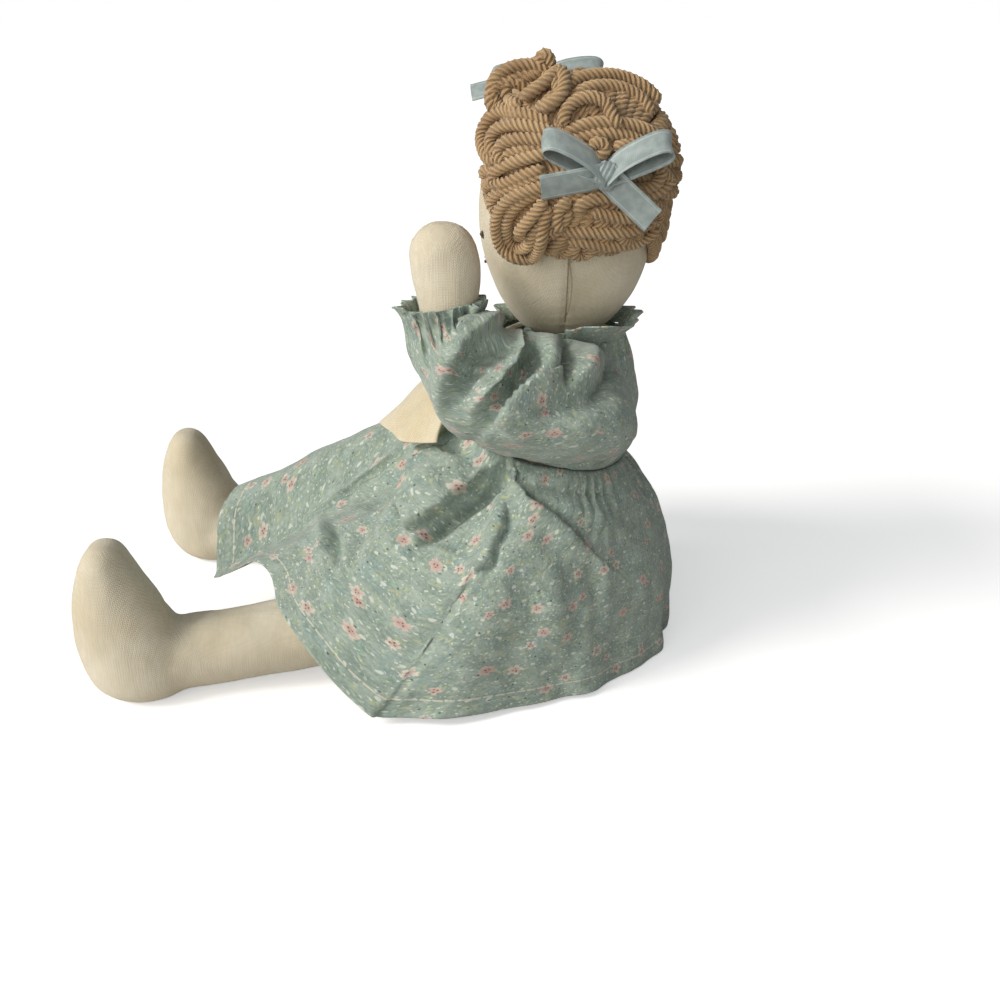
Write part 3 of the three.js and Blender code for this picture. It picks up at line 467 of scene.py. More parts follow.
head_skin = make_piece("head_skin", closed(level_tube([
    [0, 0, 113.3, 0.2, 0.2], [0, 0, 113.5, 10, 10], [0, 0, 116.2, 15.6, 15.2], [0, 0, 121.8, 20.8, 20.4],
    [0, 0, 129, 25.4, 24.9], [0, 0, 138.4, 28.9, 28.2], [0, 0, 149.4, 31, 30], [0, 0, 160.5, 31, 30],
    [0, 0, 171.6, 28.9, 28.2], [0, 0, 181, 23.6, 23.1], [0, 0, 188.2, 14.9, 14.4], [0, 0, 191.6, 4, 4],
    [0, 0, 192, 0.2, 0.2]], 120, 120)), muslin)


def head_surface(spot, way):
    seam = hill(spot.y, 0, 0.7)
    pucker = math.exp(-abs(spot.y) / 3.5) * math.sin(
        spot.z * 1.7 + 2 * noise.noise(Vector((spot.z * 0.2, 0, 0))))
    lumps = 0.8 * noise.noise(spot * 0.045)
    # A soft hollow below the seam's middle, where the halves pull against the stuffing
    hollow = hill(spot.y, 5, 5) * hill(spot.z, 132, 9)
    # The face is a little flatter than the back
    flat = max(0, -way.y) ** 2
    return lumps - 0.7 * seam + 0.16 * pucker - 0.8 * hollow - 2.4 * flat


push_out(head_skin, head_surface)
cup_middle, cup_radius = Vector((0, 0, 108.5)) * millimetre, 9.6 * millimetre
for vert in head_skin.data.vertices:
    gap = vert.co - cup_middle
    if gap.length < cup_radius:
        vert.co = cup_middle + gap.normalized() * cup_radius
fasten(head_skin, "head", "muslin", "head")

# Dress bodice
# Sage green cotton calico with a small all-over print of pink blossoms, white petals and leaf sprigs.
# It is gathered by elastic at the neck, blouses over the waist seam and hangs in soft deep folds.

full_turn = 6.283


def print_cells(paint, place, cell, offset):
    """Cells for one motif: the way and distance from its middle in millimetres, and chance numbers."""
    scaled = paint.scale(paint.vector("ADD", place, (offset, offset * 0.7, 0)), 1 / cell)
    cells = paint.node("TexVoronoi", {"Vector": scaled, "Scale": 1, "Randomness": 0.8},
                       voronoi_dimensions="2D")
    reach = paint.scale(paint.vector("SUBTRACT", scaled, cells.outputs["Position"]), cell)
    chances = paint.node("SeparateColor", {0: cells.outputs["Color"]}).outputs
    return reach, paint.vector("LENGTH", reach), chances


def calico_material(name):
    paint = Paint(name)
    flat = paint.scale(paint.sewn_place(), 1 / millimetre)
    wobble = paint.noise(flat, scale=0.9, detail=2, output="Color")
    place = paint.vector("ADD", flat, paint.scale(paint.vector("SUBTRACT", wobble, (0.5, 0.5, 0.5)), 0.9))

    # Ground: grey sage with paler, washed patches and three faint tints
    wash = paint.noise(flat, scale=0.16, detail=4)
    cloth = paint.over(paint.edge(wash, 0.66, 0.36), tone("8b9b90"), tone("a6b3a7"))
    tinted = paint.vector("ADD", flat, (40, 90, 0))
    for scale, least, amount, colour in (
            (0.11, 0.56, 0.5, "8ea6a2"), (0.19, 0.62, 0.55, "b3b98e"), (0.23, 0.64, 0.5, "93bb9f")):
        cloud = paint.edge(paint.noise(tinted, scale, detail=4), least + 0.08, least - 0.03)
        cloth = paint.over(paint.times(cloud, amount), cloth, tone(colour))
        tinted = paint.vector("ADD", tinted, (57, 31, 0))
    mottle = paint.noise(flat, scale=0.95, detail=4, roughness=0.7)
    cloth = paint.over(paint.times(paint.edge(mottle, 0.64, 0.5), 0.35), cloth, tone("c3ccc0"))
    cloth = paint.over(paint.times(paint.edge(mottle, 0.36, 0.48), 0.35), cloth, tone("6f8177"))

    # Leaf sprigs: short strokes, each turned its own way
    for cell, offset, length, width, share, colours in (
            (1.9, 3, 0.8, 0.22, 0.5, ("a7b59b", "748a79")),
            (2.3, 17, 0.9, 0.28, 0.55, ("c2cdbd", "b3c3a6")),
            (4.9, 31, 1.1, 0.45, 0.4, ("c6c990", "a9bd8e"))):
        reach, _, chance = print_cells(paint, place, cell, offset)
        x, y, _ = paint.split(reach)
        turn = paint.times(chance[0], full_turn)
        cosine, sine = paint.math("COSINE", turn), paint.math("SINE", turn)
        ahead = paint.math("MULTIPLY_ADD", x, cosine, paint.times(y, sine))
        aside = paint.math("SUBTRACT", paint.times(y, cosine), paint.times(x, sine))
        bend = paint.math("MULTIPLY_ADD", paint.times(ahead, ahead), 0.28, aside)
        oval = paint.math("ADD", paint.math("POWER", paint.math("DIVIDE", ahead, length), 2),
                          paint.math("POWER", paint.math("DIVIDE", bend, width), 2))
        stroke = paint.times(paint.edge(oval, 0.6, 1.25), paint.math("LESS_THAN", chance[1], share))
        leaf = paint.over(chance[2], tone(colours[0]), tone(colours[1]))
        cloth = paint.over(paint.times(stroke, 0.55), cloth, leaf)

    # White petals: small ovals and dots
    for cell, offset, size, share in ((2.1, 29, 0.32, 0.45), (3.3, 41, 0.5, 0.5), (7.1, 53, 1.0, 0.42)):
        reach, _, chance = print_cells(paint, place, cell, offset)
        x, y, _ = paint.split(reach)
        skew = paint.math("MULTIPLY_ADD", x, paint.math("MULTIPLY_ADD", chance[0], 1.2, -0.6), y)
        far = paint.math("SQRT", paint.math("ADD", paint.math("POWER", x, 2),
                                            paint.times(paint.math("POWER", skew, 2), 1.7)))
        dot = paint.times(paint.edge(far, size * 0.7, size), paint.math("LESS_THAN", chance[1], share))
        cloth = paint.over(paint.times(dot, 0.85), cloth, tone("d5dacd"))

    # Blossoms: five petals of washed pink or cream round three dark dots
    for cell, offset, size, share in ((13, 67, 2.7, 0.52), (17, 83, 2.1, 0.5)):
        reach, far, chance = print_cells(paint, place, cell, offset)
        x, y, _ = paint.split(reach)
        angle = paint.math("ADD", paint.math("ARCTAN2", y, x), paint.times(chance[0], full_turn))
        lobes = paint.math("ABSOLUTE", paint.math("COSINE", paint.times(angle, 2.5)))
        rim = paint.math("MULTIPLY_ADD", lobes, 0.42 * size, 0.58 * size)
        rough = paint.math("MULTIPLY_ADD", paint.noise(flat, scale=1.6, detail=2), 0.9, 0.5)
        here = paint.math("LESS_THAN", chance[1], share)
        petals = paint.times(paint.edge(paint.math("DIVIDE", far, paint.times(rim, rough)), 0.86, 1.04), here)
        heart = paint.times(paint.edge(far, 0.4, size * 0.75), 0.7)
        petal = paint.over(heart, paint.over(chance[2], tone("d6b5aa"), tone("e4dccd")), tone("bf9186"))
        cloth = paint.over(paint.times(petals, 0.82), cloth, petal)
        ring = paint.edge(paint.math("ABSOLUTE", paint.math("SUBTRACT", far, 0.6)), 0.16, 0.34)
        three = paint.edge(paint.math("COSINE", paint.times(angle, 3)), 0.75, 0.35)
        dots = paint.times(paint.times(ring, three), here)
        cloth = paint.over(paint.times(dots, 0.85), cloth, tone("54413b"))

    # Seed dots: dark specks scattered between
    _, far, chance = print_cells(paint, place, 5.2, 97)
    speck = paint.times(paint.edge(far, 0.22, 0.42), paint.math("LESS_THAN", chance[0], 0.34))
    cloth = paint.over(paint.times(speck, 0.75), cloth, tone("323a35"))

    # Hem stitching: pale thread in short runs
    stitched_in = 7.5
    hem = paint.node("Attribute", attribute_name="from_hem").outputs["Fac"]
    line = paint.edge(paint.math("ABSOLUTE", paint.math("SUBTRACT", hem, stitched_in)), 0.25, 0.45)
    dash = paint.edge(paint.math("PINGPONG", paint.split(flat)[0], 1.5), 1.15, 1.35)
    cloth = paint.over(paint.times(paint.times(line, dash), 0.8), cloth, tone("d9d6c4"))

    # Relief: a soft crinkle, the sunk hem line and the crossing threads
    thread_width = 0.42
    x, y, _ = paint.split(paint.vector("SINE", paint.scale(flat, full_turn / thread_width)))
    crinkle = paint.noise(flat, scale=0.32, detail=5, roughness=0.55)
    soft = paint.bump(crinkle, strength=0.5, distance=0.0016)
    sunk = paint.bump(line, strength=0.5, distance=0.0003, under=soft, invert=True)
    return paint.finish({
        "Base Color": cloth,
        "Normal": paint.bump(paint.times(x, y), strength=0.25, distance=0.0001, under=sunk),
        "Roughness": 0.88, "Specular IOR Level": 0.25, "Sheen Weight": 0.3, "Sheen Roughness": 0.55})


calico = calico_material("calico")
calico_thickness = 0.45


def seen_from_left(spots):
    """Where places in metres stand in the lens's picture, for laying folds."""
    x, y, z = spots.T / millimetre
    ahead = level_share * (eye_place.x - x) + drop_share * (eye_place.z - z)
    rise = drop_share * (eye_place.x - x) - level_share * (eye_place.z - z)
    return numpy.stack([picture_middle + picture_scale * (y - eye_place.y) / ahead,
                        picture_middle - picture_scale * rise / ahead], axis=1)


def read_corners(mesh, what):
    values = numpy.empty(len(mesh.vertices) * 3)
    mesh.vertices.foreach_get(what, values)
    return values.reshape(-1, 3)


def lay_folds(piece, folds):
    """Presses folds into the cloth that the lens sees: each is (path in its picture, width there, height in
    mm, kind). Round and crease folds are valleys below 0; a lap raises the cloth on the right of its path."""
    spots, ways = read_corners(piece.data, "co"), read_corners(piece.data, "normal")
    count = len(spots)
    seen = seen_from_left(spots)
    to_eye = numpy.array(eye_place) * millimetre - spots
    to_eye /= numpy.linalg.norm(to_eye, axis=1)[:, None]
    turned = numpy.clip((ways * to_eye).sum(axis=1) * 4 + 0.6, 0, 1)
    lift = numpy.zeros(count)
    lean = numpy.zeros((count, 3))
    lap_step, lap_reach = 5, 11
    for path, width, height, kind in folds:
        steps = max(2, 14 * (len(path) - 1))
        flat_path = [(*spot, 0) for spot in path]
        line = numpy.array([along_line(flat_path, k / steps)[:2] for k in range(steps + 1)])
        offsets = seen[:, None, :] - line[None, :, :]
        gaps = numpy.linalg.norm(offsets, axis=2)
        nearest = gaps.argmin(axis=1)
        gap = gaps.min(axis=1) / width
        ends = numpy.clip(numpy.minimum(nearest, steps - nearest) / (0.3 * steps), 0, 1)
        if kind == "lap":
            ways_on = numpy.gradient(line, axis=0)[nearest]
            ways_on /= numpy.linalg.norm(ways_on, axis=1)[:, None]
            offset = offsets[numpy.arange(count), nearest]
            aside = ways_on[:, 0] * offset[:, 1] - ways_on[:, 1] * offset[:, 0]
            rise = numpy.clip(aside / lap_step + 0.5, 0, 1)
            rise = rise * rise * (3 - 2 * rise)
            profile = rise * numpy.exp(-gap ** 2)
            # The raised edge leans over the valley beside it
            over_by = 0.5 * height * rise * ends * numpy.exp(-(aside / lap_reach) ** 2) * turned
            lean += over_by[:, None] * numpy.stack(
                [-drop_share * ways_on[:, 0], ways_on[:, 1], level_share * ways_on[:, 0]], axis=1)
        else:
            profile = numpy.exp(-gap ** (1.15 if kind == "crease" else 2))
        lift += height * profile * (0.35 + 0.65 * ends)
    lean -= ways * (lean * ways).sum(axis=1)[:, None]
    spots += (ways * (lift * turned)[:, None] + lean) * millimetre
    piece.data.vertices.foreach_set("co", spots.ravel())
    piece.data.update()


def recut(piece, columns, rows, cut):
    """Lets the print lie evenly: each column of the weave takes its real length from the piece's shape."""
    mesh = piece.data
    plan = numpy.empty(len(mesh.loops) * 2)
    mesh.uv_layers["cloth"].data.foreach_get("uv", plan)
    plan = plan.reshape(-1, 2) / millimetre
    corners = numpy.empty(len(mesh.loops), dtype=int)
    mesh.loops.foreach_get("vertex_index", corners)
    column = numpy.rint(plan[:, 0] / cut[0] * columns).astype(int)
    row = numpy.rint(plan[:, 1] / cut[1] * rows).astype(int)
    grid = numpy.zeros((columns + 1, rows + 1, 3))
    grid[column, row] = read_corners(mesh, "co")[corners] / millimetre
    lengths = numpy.linalg.norm(numpy.diff(grid, axis=1), axis=2)
    reach = numpy.concatenate([numpy.zeros((columns + 1, 1)), lengths.cumsum(axis=1)], axis=1)
    # Neighbouring columns share their lengths, so that the print isn't torn
    shared = 12
    even = numpy.ones(2 * shared + 1) / (2 * shared + 1)
    reach = numpy.stack([numpy.convolve(numpy.pad(line, shared, mode="edge"), even, "valid")
                         for line in reach.T], axis=1)
    plan[:, 1] = reach[column, row]
    mesh.uv_layers["cloth"].data.foreach_set("uv", (plan * millimetre).ravel())


def rumple(piece, amount, size, seed):
    one, other = Vector((seed, 0, 0)), Vector((0, seed, 0))
    push_out(piece, lambda spot, way: amount * (
        noise.noise(spot / size + one) + 0.5 * noise.noise(spot * 2.3 / size + other)))


def sew_ends(piece, turn_over=False):
    """Joins the two ends of a strip of cloth where they meet."""
    shape = bmesh.new()
    shape.from_mesh(piece.data)
    bmesh.ops.remove_doubles(shape, verts=shape.verts, dist=0.01 * millimetre)
    if turn_over:
        bmesh.ops.reverse_faces(shape, faces=shape.faces)
    shape.to_mesh(piece.data)
    shape.free()


def thicken(piece, thickness, offset=-1):
    wall = piece.modifiers.new("cloth", "SOLIDIFY")
    wall.thickness = thickness * millimetre
    wall.offset = offset


waist_half, waist_deep = 38, 31
waist_y, waist_z = -8, 78.6
neckline_z = 113.2


def waist_seam(turn):
    """The waist seam, level at the back and rising towards the front."""
    y = waist_deep * math.sin(turn) + waist_y
    return Vector((waist_half * math.cos(turn), y, waist_z - 0.3 * (y - waist_y)))


# Half width, half depth and how far forward, from the waist seam to the neckline
bodice_rings = [(waist_half, waist_deep, -waist_y), (42.4, 35.4, 8), (42, 34.6, 6.6), (37.4, 30.6, 4.4),
                (29, 26, 1.5), (22, 22, 0)]


def bodice_place(across, along):
    turn = 2 * math.pi * across
    foot = waist_seam(turn)
    half, deep, forward = along_line(bodice_rings, along)
    gathers = 0.9 * math.cos(27 * turn + 1.5 * math.sin(3 * turn)) * max(0, along - 0.45) ** 1.2 * 1.6
    pleats = 1.1 * math.cos(19 * turn + 2 * math.sin(2 * turn)) * max(0, 0.4 - along) ** 1.1 * 2
    soft = 1.3 * math.sin(7 * turn + 4 * along) * math.sin(math.pi * along)
    push = (gathers + pleats + soft) * min(1, along * 12)
    return ((half + push) * math.cos(turn), (deep + push) * math.sin(turn) - forward,
            foot.z + (neckline_z - foot.z) * along)


bodice = make_piece("dress_bodice_cloth", woven(260, 60, bodice_place, cut=(240, 42)), calico)
sew_ends(bodice)
rumple(bodice, 0.7, size=11, seed=5)
thicken(bodice, calico_thickness)
fasten(bodice, "body", "calico", "dress_bodice")

# Sleeves
# Each sleeve is cut in one wide piece, gathered into the neck and onto elastic just above the wrist.
# Past the elastic the hem stands out as a small frill; the raised arm crushes the sleeve into deep folds.

sleeve_columns, sleeve_rows, sleeve_cut = 200, 110, (150, 75)


def sleeve_piece(name, line, sizes, seed):
    """A sleeve round a line of middles, through ovals of half width and half height."""
    ovals = [(*size, 0) for size in sizes]

    def place(across, along):
        turn = 2 * math.pi * across
        half, tall, _ = along_line(ovals, along)
        side, up = ring_ways(heading(line, along))
        cuff = max(0, along - 0.62) / 0.38
        pleats = (0.9 * math.cos(21 * turn) + 0.5 * math.cos(34 * turn + 1)) * cuff ** 1.4
        frill = 1.1 * math.cos(13 * turn + 0.6) * max(0, along - 0.93) * 14
        soft = 1.2 * math.sin(4 * turn + 6 * along) * math.sin(math.pi * min(1, along / 0.75))
        push = pleats + frill + soft
        return (along_line(line, along) + side * (half + push) * math.cos(turn)
                + up * (tall + push) * math.sin(turn))

    piece = make_piece(name, woven(sleeve_columns, sleeve_rows, place, cut=sleeve_cut), calico)
    sew_ends(piece)
    rumple(piece, 0.6, size=9, seed=seed)
    return piece


raised_line = [(18, 5, 94), (31, 2, 97), (37, -12, 101.5), (37.5, -26, 107.5), (34.8, -36, 116),
               (34, -39, 124.5), (34, -39.8, 131)]
raised_sizes = [(20, 15), (23, 18.5), (21.5, 20), (18, 18.5), (13.8, 14), (11.6, 11.6), (12.6, 12.6)]
raised_sleeve = sleeve_piece("sleeve_left_cloth", raised_line, raised_sizes, seed=2)
# Spots in the lens's picture, width there, height in millimetres and kind of each fold
lay_folds(raised_sleeve, [
    ([(482, 300), (467, 334), (456, 352), (446, 370), (443, 390), (450, 413), (466, 434),
      (490, 460)], 9, 3.4, "round"),
    ([(514, 318), (492, 331), (473, 343), (460, 359), (452, 386)], 14, 6.0, "lap"),
    ([(522, 330), (503, 345), (486, 356), (473, 372), (464, 394)], 9, -7.0, "round"),
    ([(470, 366), (482, 367), (497, 372)], 4, 2.6, "round"),
    ([(486, 376), (478, 394), (473, 414)], 12, 3.0, "round"),
    ([(523, 328), (515, 348), (500, 374), (482, 404)], 8, 6.5, "lap"),
    ([(537, 342), (531, 357), (520, 374), (506, 391), (490, 412)], 7.5, -8.5, "round"),
    ([(492, 426), (508, 407), (525, 391), (543, 378), (568, 364)], 22, 5.5, "lap"),
    ([(612, 378), (590, 396), (560, 405), (528, 410)], 14, -4.6, "round"),
    ([(484, 414), (490, 426), (508, 436)], 7, -3.0, "round"),
    ([(567, 332), (567, 358), (566, 384)], 4.5, -5.6, "round"),
    ([(536, 346), (537, 358), (534, 368)], 4, -4.0, "round"),
    ([(549, 342), (551, 358), (544, 370)], 8, 3.0, "round"),
    ([(592, 350), (590, 368), (578, 384)], 9, 3.6, "round"),
    ([(614, 346), (613, 372), (600, 398)], 6, -4.0, "round"),
    ([(470, 440), (500, 466), (540, 478), (590, 484)], 6, -3.0, "round"),
    ([(418, 318), (421, 338), (430, 360)], 3, -1.5, "round"),
    ([(427, 312), (431, 330), (437, 346)], 2.4, -1.7, "round"),
    ([(437, 306), (439, 324), (444, 342)], 2.6, -2.0, "round"),
    ([(448, 303), (449, 318), (452, 334)], 2.4, -1.8, "round"),
    ([(457, 301), (458, 314), (458, 328)], 2.4, -1.8, "round"),
    ([(468, 303), (466, 318), (463, 330)], 2.6, -2.0, "round"),
])
rumple(raised_sleeve, 0.25, size=4, seed=9)
recut(raised_sleeve, sleeve_columns, sleeve_rows, sleeve_cut)

hanging_line = [(-16, 5, 95), (-31, 2, 99.5), (-42, -4, 95), (-50, -8.5, 85), (-57, -13.6, 74.5),
                (-60, -15.4, 70)]
hanging_sizes = [(20, 14), (21, 17.5), (19, 18.5), (15.5, 15.5), (11.4, 11.4), (12.8, 12.8)]
hanging_sleeve = sleeve_piece("sleeve_right_cloth", hanging_line, hanging_sizes, seed=4)
for sleeve, side in ((raised_sleeve, "left"), (hanging_sleeve, "right")):
    thicken(sleeve, calico_thickness)
    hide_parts("sleeve_" + side)
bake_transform(raised_sleeve)
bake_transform(hanging_sleeve)

# Skirt
# Two full halves of calico, gathered into the waist seam, laid over the legs and sat on at the back.
# The hem is turned up and machine stitched; a side seam runs from the waist to the hem.

side_seam_share = 0.384
seam_top_y, seam_top_z = -17, 81.3
seam_run, seam_drop = 46, 77.3
hem_corner_y, hem_corner_z = -63, 4
# The seam of the left side, 1, goes further out than that of the right side, -1
seam_out, seam_bend = {1: 76, -1: 62}, {1: 0.7, -1: 1.5}
off_ground = 0.6


def seam_place(side, down):
    """The side seam drops over the hip, then runs forward to the hem's corner."""
    out = waist_half + (seam_out[side] - waist_half) * down ** seam_bend[side]
    return Vector((side * out, seam_top_y - seam_run * down ** 1.5, seam_top_z - seam_drop * down))


def front_place(side, across, down):
    """Cloth laid over a leg: across runs from the middle of the front to the side seam."""
    top = waist_seam(-math.pi * (0.5 - 0.5 * across))
    top.x *= side
    top.y = min(top.y, seam_top_y)
    reach, over_leg, sag = (104, 37, 0.62) if side > 0 else (128, 46, 0.92)
    # Between the legs the cloth sinks and its hem lies further forward
    between, edge = hill(across, 0, 0.22), across ** 3.5
    low = over_leg + (17 - over_leg) * between
    hem_y = reach + (131 - reach) * between
    hem = Vector((side * across * seam_out[side] * (1 - 0.06 * (1 - across)),
                  -hem_y + (hem_y + hem_corner_y) * edge, low + (hem_corner_z - low) * edge))
    spot = top.lerp(hem, down)
    spot.z = top.z + (hem.z - top.z) * down ** (0.62 + (sag - 0.62) * (1 - between))
    return spot.lerp(seam_place(side, down), across ** 10)


def back_place(side, across, down):
    """Cloth that bells out behind the hips: across runs from the side seam to the middle of the back."""
    belly = math.sin(math.pi * across / 2) ** 0.8
    round_back = across if side > 0 else 2 - across
    seam = seam_place(1, down).lerp(seam_place(-1, down), (1 - math.cos(math.pi * round_back / 2)) / 2)
    bulge = down ** 1.5 + (math.sin(math.pi * down / 2) - down ** 1.5) * belly
    top_y = seam_top_y + 40 * belly
    top_z = 78.4 - 0.3 * (top_y - waist_y)
    low = hem_corner_z - hem_corner_z * belly
    return Vector((seam.x * (1 - 0.14 * belly * down),
                   top_y + (hem_corner_y + 105 * belly - top_y) * bulge, top_z + (low - top_z) * down))


def skirt_place(across, along):
    side = 1 if across < 0.5 else -1
    from_back = 1 - abs(2 * across - 1)
    share, down = 1 - from_back, 1 - along
    if share < side_seam_share:
        spot = front_place(side, share / side_seam_share, down)
    else:
        spot = back_place(side, (share - side_seam_share) / (1 - side_seam_share), down)
    # Gathers fade downwards, and broad folds open towards the hem
    out = Vector((spot.x, spot.y - waist_y, 14)).normalized()
    around = across * 2 * math.pi
    gathers = 0.5 * math.cos(46 * around + 3 * math.sin(5 * around)) * math.exp(-down * 6) * min(1, down * 16)
    gathers *= 1 + math.sin(7 * around + 0.4)
    lap = math.exp(-(share / 0.3) ** 4)
    broad = (1.3 * math.sin(11 * around + 2) + 0.8 * math.sin(19 * around)) * down * (1 - 0.6 * lap)
    swell = (2.5 + 2.5 * (1 - lap)) * math.sin(math.pi * min(1, down * 1.15) ** 0.8)
    spot += out * (gathers + broad + swell)
    # The side seam draws the cloth in
    spot -= out * 1.3 * hill(share, side_seam_share, 0.004) * min(1, down * 8)
    return Vector((spot.x, spot.y, max(spot.z, off_ground)))


# The two ends of the strip of cloth are sewn together in the middle of the back
skirt_cut = (400, 100)
whole = make_piece("skirt_cloth", woven(500, 110, skirt_place, cut=skirt_cut), calico)
sew_ends(whole, turn_over=True)
rumple(whole, 0.9, size=14, seed=21)
lay_folds(whole, [
    ([(470, 440), (448, 462), (436, 488), (436, 514)], 26, 5.0, "round"),
    ([(507, 461), (476, 483), (453, 501), (430, 521), (406, 538)], 26, 7.5, "lap"),
    ([(511, 474), (487, 496), (463, 514), (439, 534), (419, 549)], 8, -8.0, "round"),
    ([(502, 494), (482, 509), (461, 525), (436, 545)], 5, 3.0, "round"),
    ([(416, 550), (410, 518), (411, 500), (421, 474), (435, 446), (454, 420)], 24, 4.4, "lap"),
    ([(449, 424), (428, 448), (411, 474), (403, 500), (404, 532)], 8, -5.0, "round"),
    ([(438, 440), (428, 472), (421, 508)], 3.2, 0.9, "round"),
    ([(509, 474), (507, 504), (508, 520), (506, 532), (498, 547), (494, 567), (478, 572), (452, 603),
      (430, 636)], 2.8, -2.8, "crease"),
    ([(503, 490), (498, 520), (488, 548)], 9, 1.6, "round"),
    ([(508, 470), (522, 496), (550, 517), (576, 539), (606, 564)], 15, 3.0, "lap"),
    ([(512, 482), (520, 502), (546, 523), (572, 546)], 6, 2.4, "round"),
    ([(516, 474), (538, 486), (570, 492), (612, 492)], 6, -2.6, "crease"),
    ([(548, 500), (580, 514), (616, 524)], 12, 2.6, "round"),
    ([(396, 550), (420, 546), (452, 556), (480, 570)], 6, 2.2, "round"),
    ([(426, 436), (397, 457), (368, 479), (334, 502), (308, 520)], 6, 4.4, "round"),
    ([(440, 446), (404, 470), (374, 494), (342, 516)], 7, -5.0, "round"),
    ([(400, 430), (366, 452), (330, 476)], 8, -2.0, "round"),
    ([(321, 521), (324, 540), (321, 558)], 6, 2.6, "round"),
    ([(334, 522), (337, 543), (335, 562)], 5, -3.2, "round"),
    ([(400, 480), (372, 512), (352, 552)], 9, -2.4, "round"),
    ([(470, 596), (430, 640), (400, 676)], 12, -1.8, "round"),
    ([(540, 560), (556, 610), (560, 660)], 16, 2.2, "round"),
    ([(590, 560), (600, 610), (596, 650)], 10, -2.2, "round"),
])
for vert in whole.data.vertices:
    vert.co.z = max(vert.co.z, off_ground * millimetre)
front_middle = skirt_cut[0] / 2 * millimetre
for side, sign in (("left", 1), ("right", -1)):
    shape = bmesh.new()
    shape.from_mesh(whole.data)
    plan = shape.loops.layers.uv["cloth"]
    other = [face for face in shape.faces
             if sign * (sum(loop[plan].uv.x for loop in face.loops) / 4 - front_middle) > 0]
    bmesh.ops.delete(shape, geom=other, context="FACES")
    skirt = make_piece("skirt_%s_cloth" % side, shape, calico)
    # How far each corner is from the hem, in millimetres, for the stitching
    from_hem = skirt.data.attributes.new("from_hem", "FLOAT", "POINT")
    rows = [0.0] * len(skirt.data.vertices)
    for corner, spot in zip(skirt.data.loops, skirt.data.uv_layers["cloth"].data):
        rows[corner.vertex_index] = spot.uv.y / millimetre
    from_hem.data.foreach_set("value", rows)
    thicken(skirt, calico_thickness)
    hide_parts("skirt_front", "skirt_back")
    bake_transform(skirt)
    for vert in skirt.data.vertices:
        x, y, z = vert.co / millimetre
bpy.data.objects.remove(whole)

# Bunched skirt
# The doll sits on the skirt's back, which bunches into a flat pad of calico under the seat.
# A tongue of it comes forward between the thighs.

# Rings of the pad and of its tongue: the height, half width and half depth of each
seat_y, tongue_y, pad_top = 22.8, 2, 11.6
seat_rings = [(0.2, 24, 13), (2, 30, 16.5), (6, 33, 18), (10, 29, 15), (11.4, 20, 10)]
tongue_rings = [(0.2, 6, 11), (2, 7.6, 13.5), (6, 8.4, 15), (10, 7.6, 13), (11.2, 5, 9)]
bunched = join_tubes("skirt_bunched_cloth", [
    ring_tube([[0, seat_y, *ring] for ring in seat_rings], 60, 12),
    ring_tube([[0, tongue_y, *ring] for ring in tongue_rings], 40, 12),
], calico, voxel=1.6, calm=2)
push_out(bunched, lambda spot, way: 0.5 * noise.noise(spot * 0.3)
         + 0.7 * math.sin(spot.x * 0.9 + 2 * noise.noise(spot * 0.15)) * (1 - way.z ** 2))
for vert in bunched.data.vertices:
    vert.co.z = min(max(vert.co.z, 0), pad_top * millimetre)
flat_cloth = bunched.data.uv_layers.new(name="cloth")
for corner, spot in zip(bunched.data.loops, flat_cloth.data):
    at = bunched.data.vertices[corner.vertex_index].co
    spot.uv = (at.x + 0.3 * at.z, at.y + 0.8 * at.z)
bunched.data.shade_smooth()
fasten(bunched, "body", "calico", "skirt_back")

# Frill
# The top of the neck casing stands up round the neck in a small uneven frill.
# On the left one fold of it has turned over into an open loop.


def frill_place(across, along):
    turn = 2 * math.pi * across
    wave = math.sin(14 * turn + 1.6 * math.sin(3 * turn)) + 0.4 * math.sin(23 * turn)
    loop = hill(turn, 0.45, 0.28)
    low = hill(turn, 5.75, 0.55) + 0.7 * hill(turn, 4.7, 0.6)
    out = (22 + 3.2 * along ** 1.4 + (0.9 + 1.0 * along) * wave * 0.8 * (1 - loop)
           + 2.2 * along * max(0, math.sin(turn)))
    radius = out + 7.5 * loop * along ** 1.3
    height = (6.0 + 0.8 * math.sin(5 * turn + 1)) * (1 - 0.55 * low) + 3.0 * loop
    return radius * math.cos(turn), radius * math.sin(turn), 113 + height * along


frill = make_piece("neck_frill_cloth", woven(320, 24, frill_place, cut=(250, 9)), calico)
sew_ends(frill)
thicken(frill, calico_thickness)
fasten(frill, "body", "calico", "neck_frill")

# Bib
# A small bell of stiff unbleached muslin hangs from the neckline over the chest.
# Its lower edge sways in soft waves, and the near edge rolls outwards.

bib_muslin = muslin_material("bib muslin", "ebe0c6", "ddcdaa", bump=0.15)


def bib_place(across, along):
    down = 1 - along
    near = max(0, 2 * across - 1)
    turn = math.radians((2 * across - 1) * (41 + (20 * near) * down ** 2.2))
    radius = 21 + 20 * down ** 0.8 + 3.2 * math.sin(math.pi * down) * max(0, 1 - 1.8 * across)
    centre = -3.2 - 18.8 * down
    flare = 1.3 * math.sin(5 * turn + 1) * down ** 1.5
    roll = 2.4 * hill(across, 0.86, 0.06) * down
    tuck = 3.5 * hill(across, 0.12, 0.1) * max(0, down - 0.7) * 2
    droop = 2.4 * hill(across, 0.44, 0.11) * max(0, down - 0.6) * 2.5
    x = (radius + flare + roll) * math.sin(turn)
    y = centre - (radius + flare + roll - tuck) * math.cos(turn)
    return x, y, 112.6 - 33 * down + (1.0 * math.sin(6 * turn) + 5.5 * across ** 3) * down ** 2 - droop


bib = make_piece("bib_cloth", woven(90, 50, bib_place, cut=(64, 36)), bib_muslin)

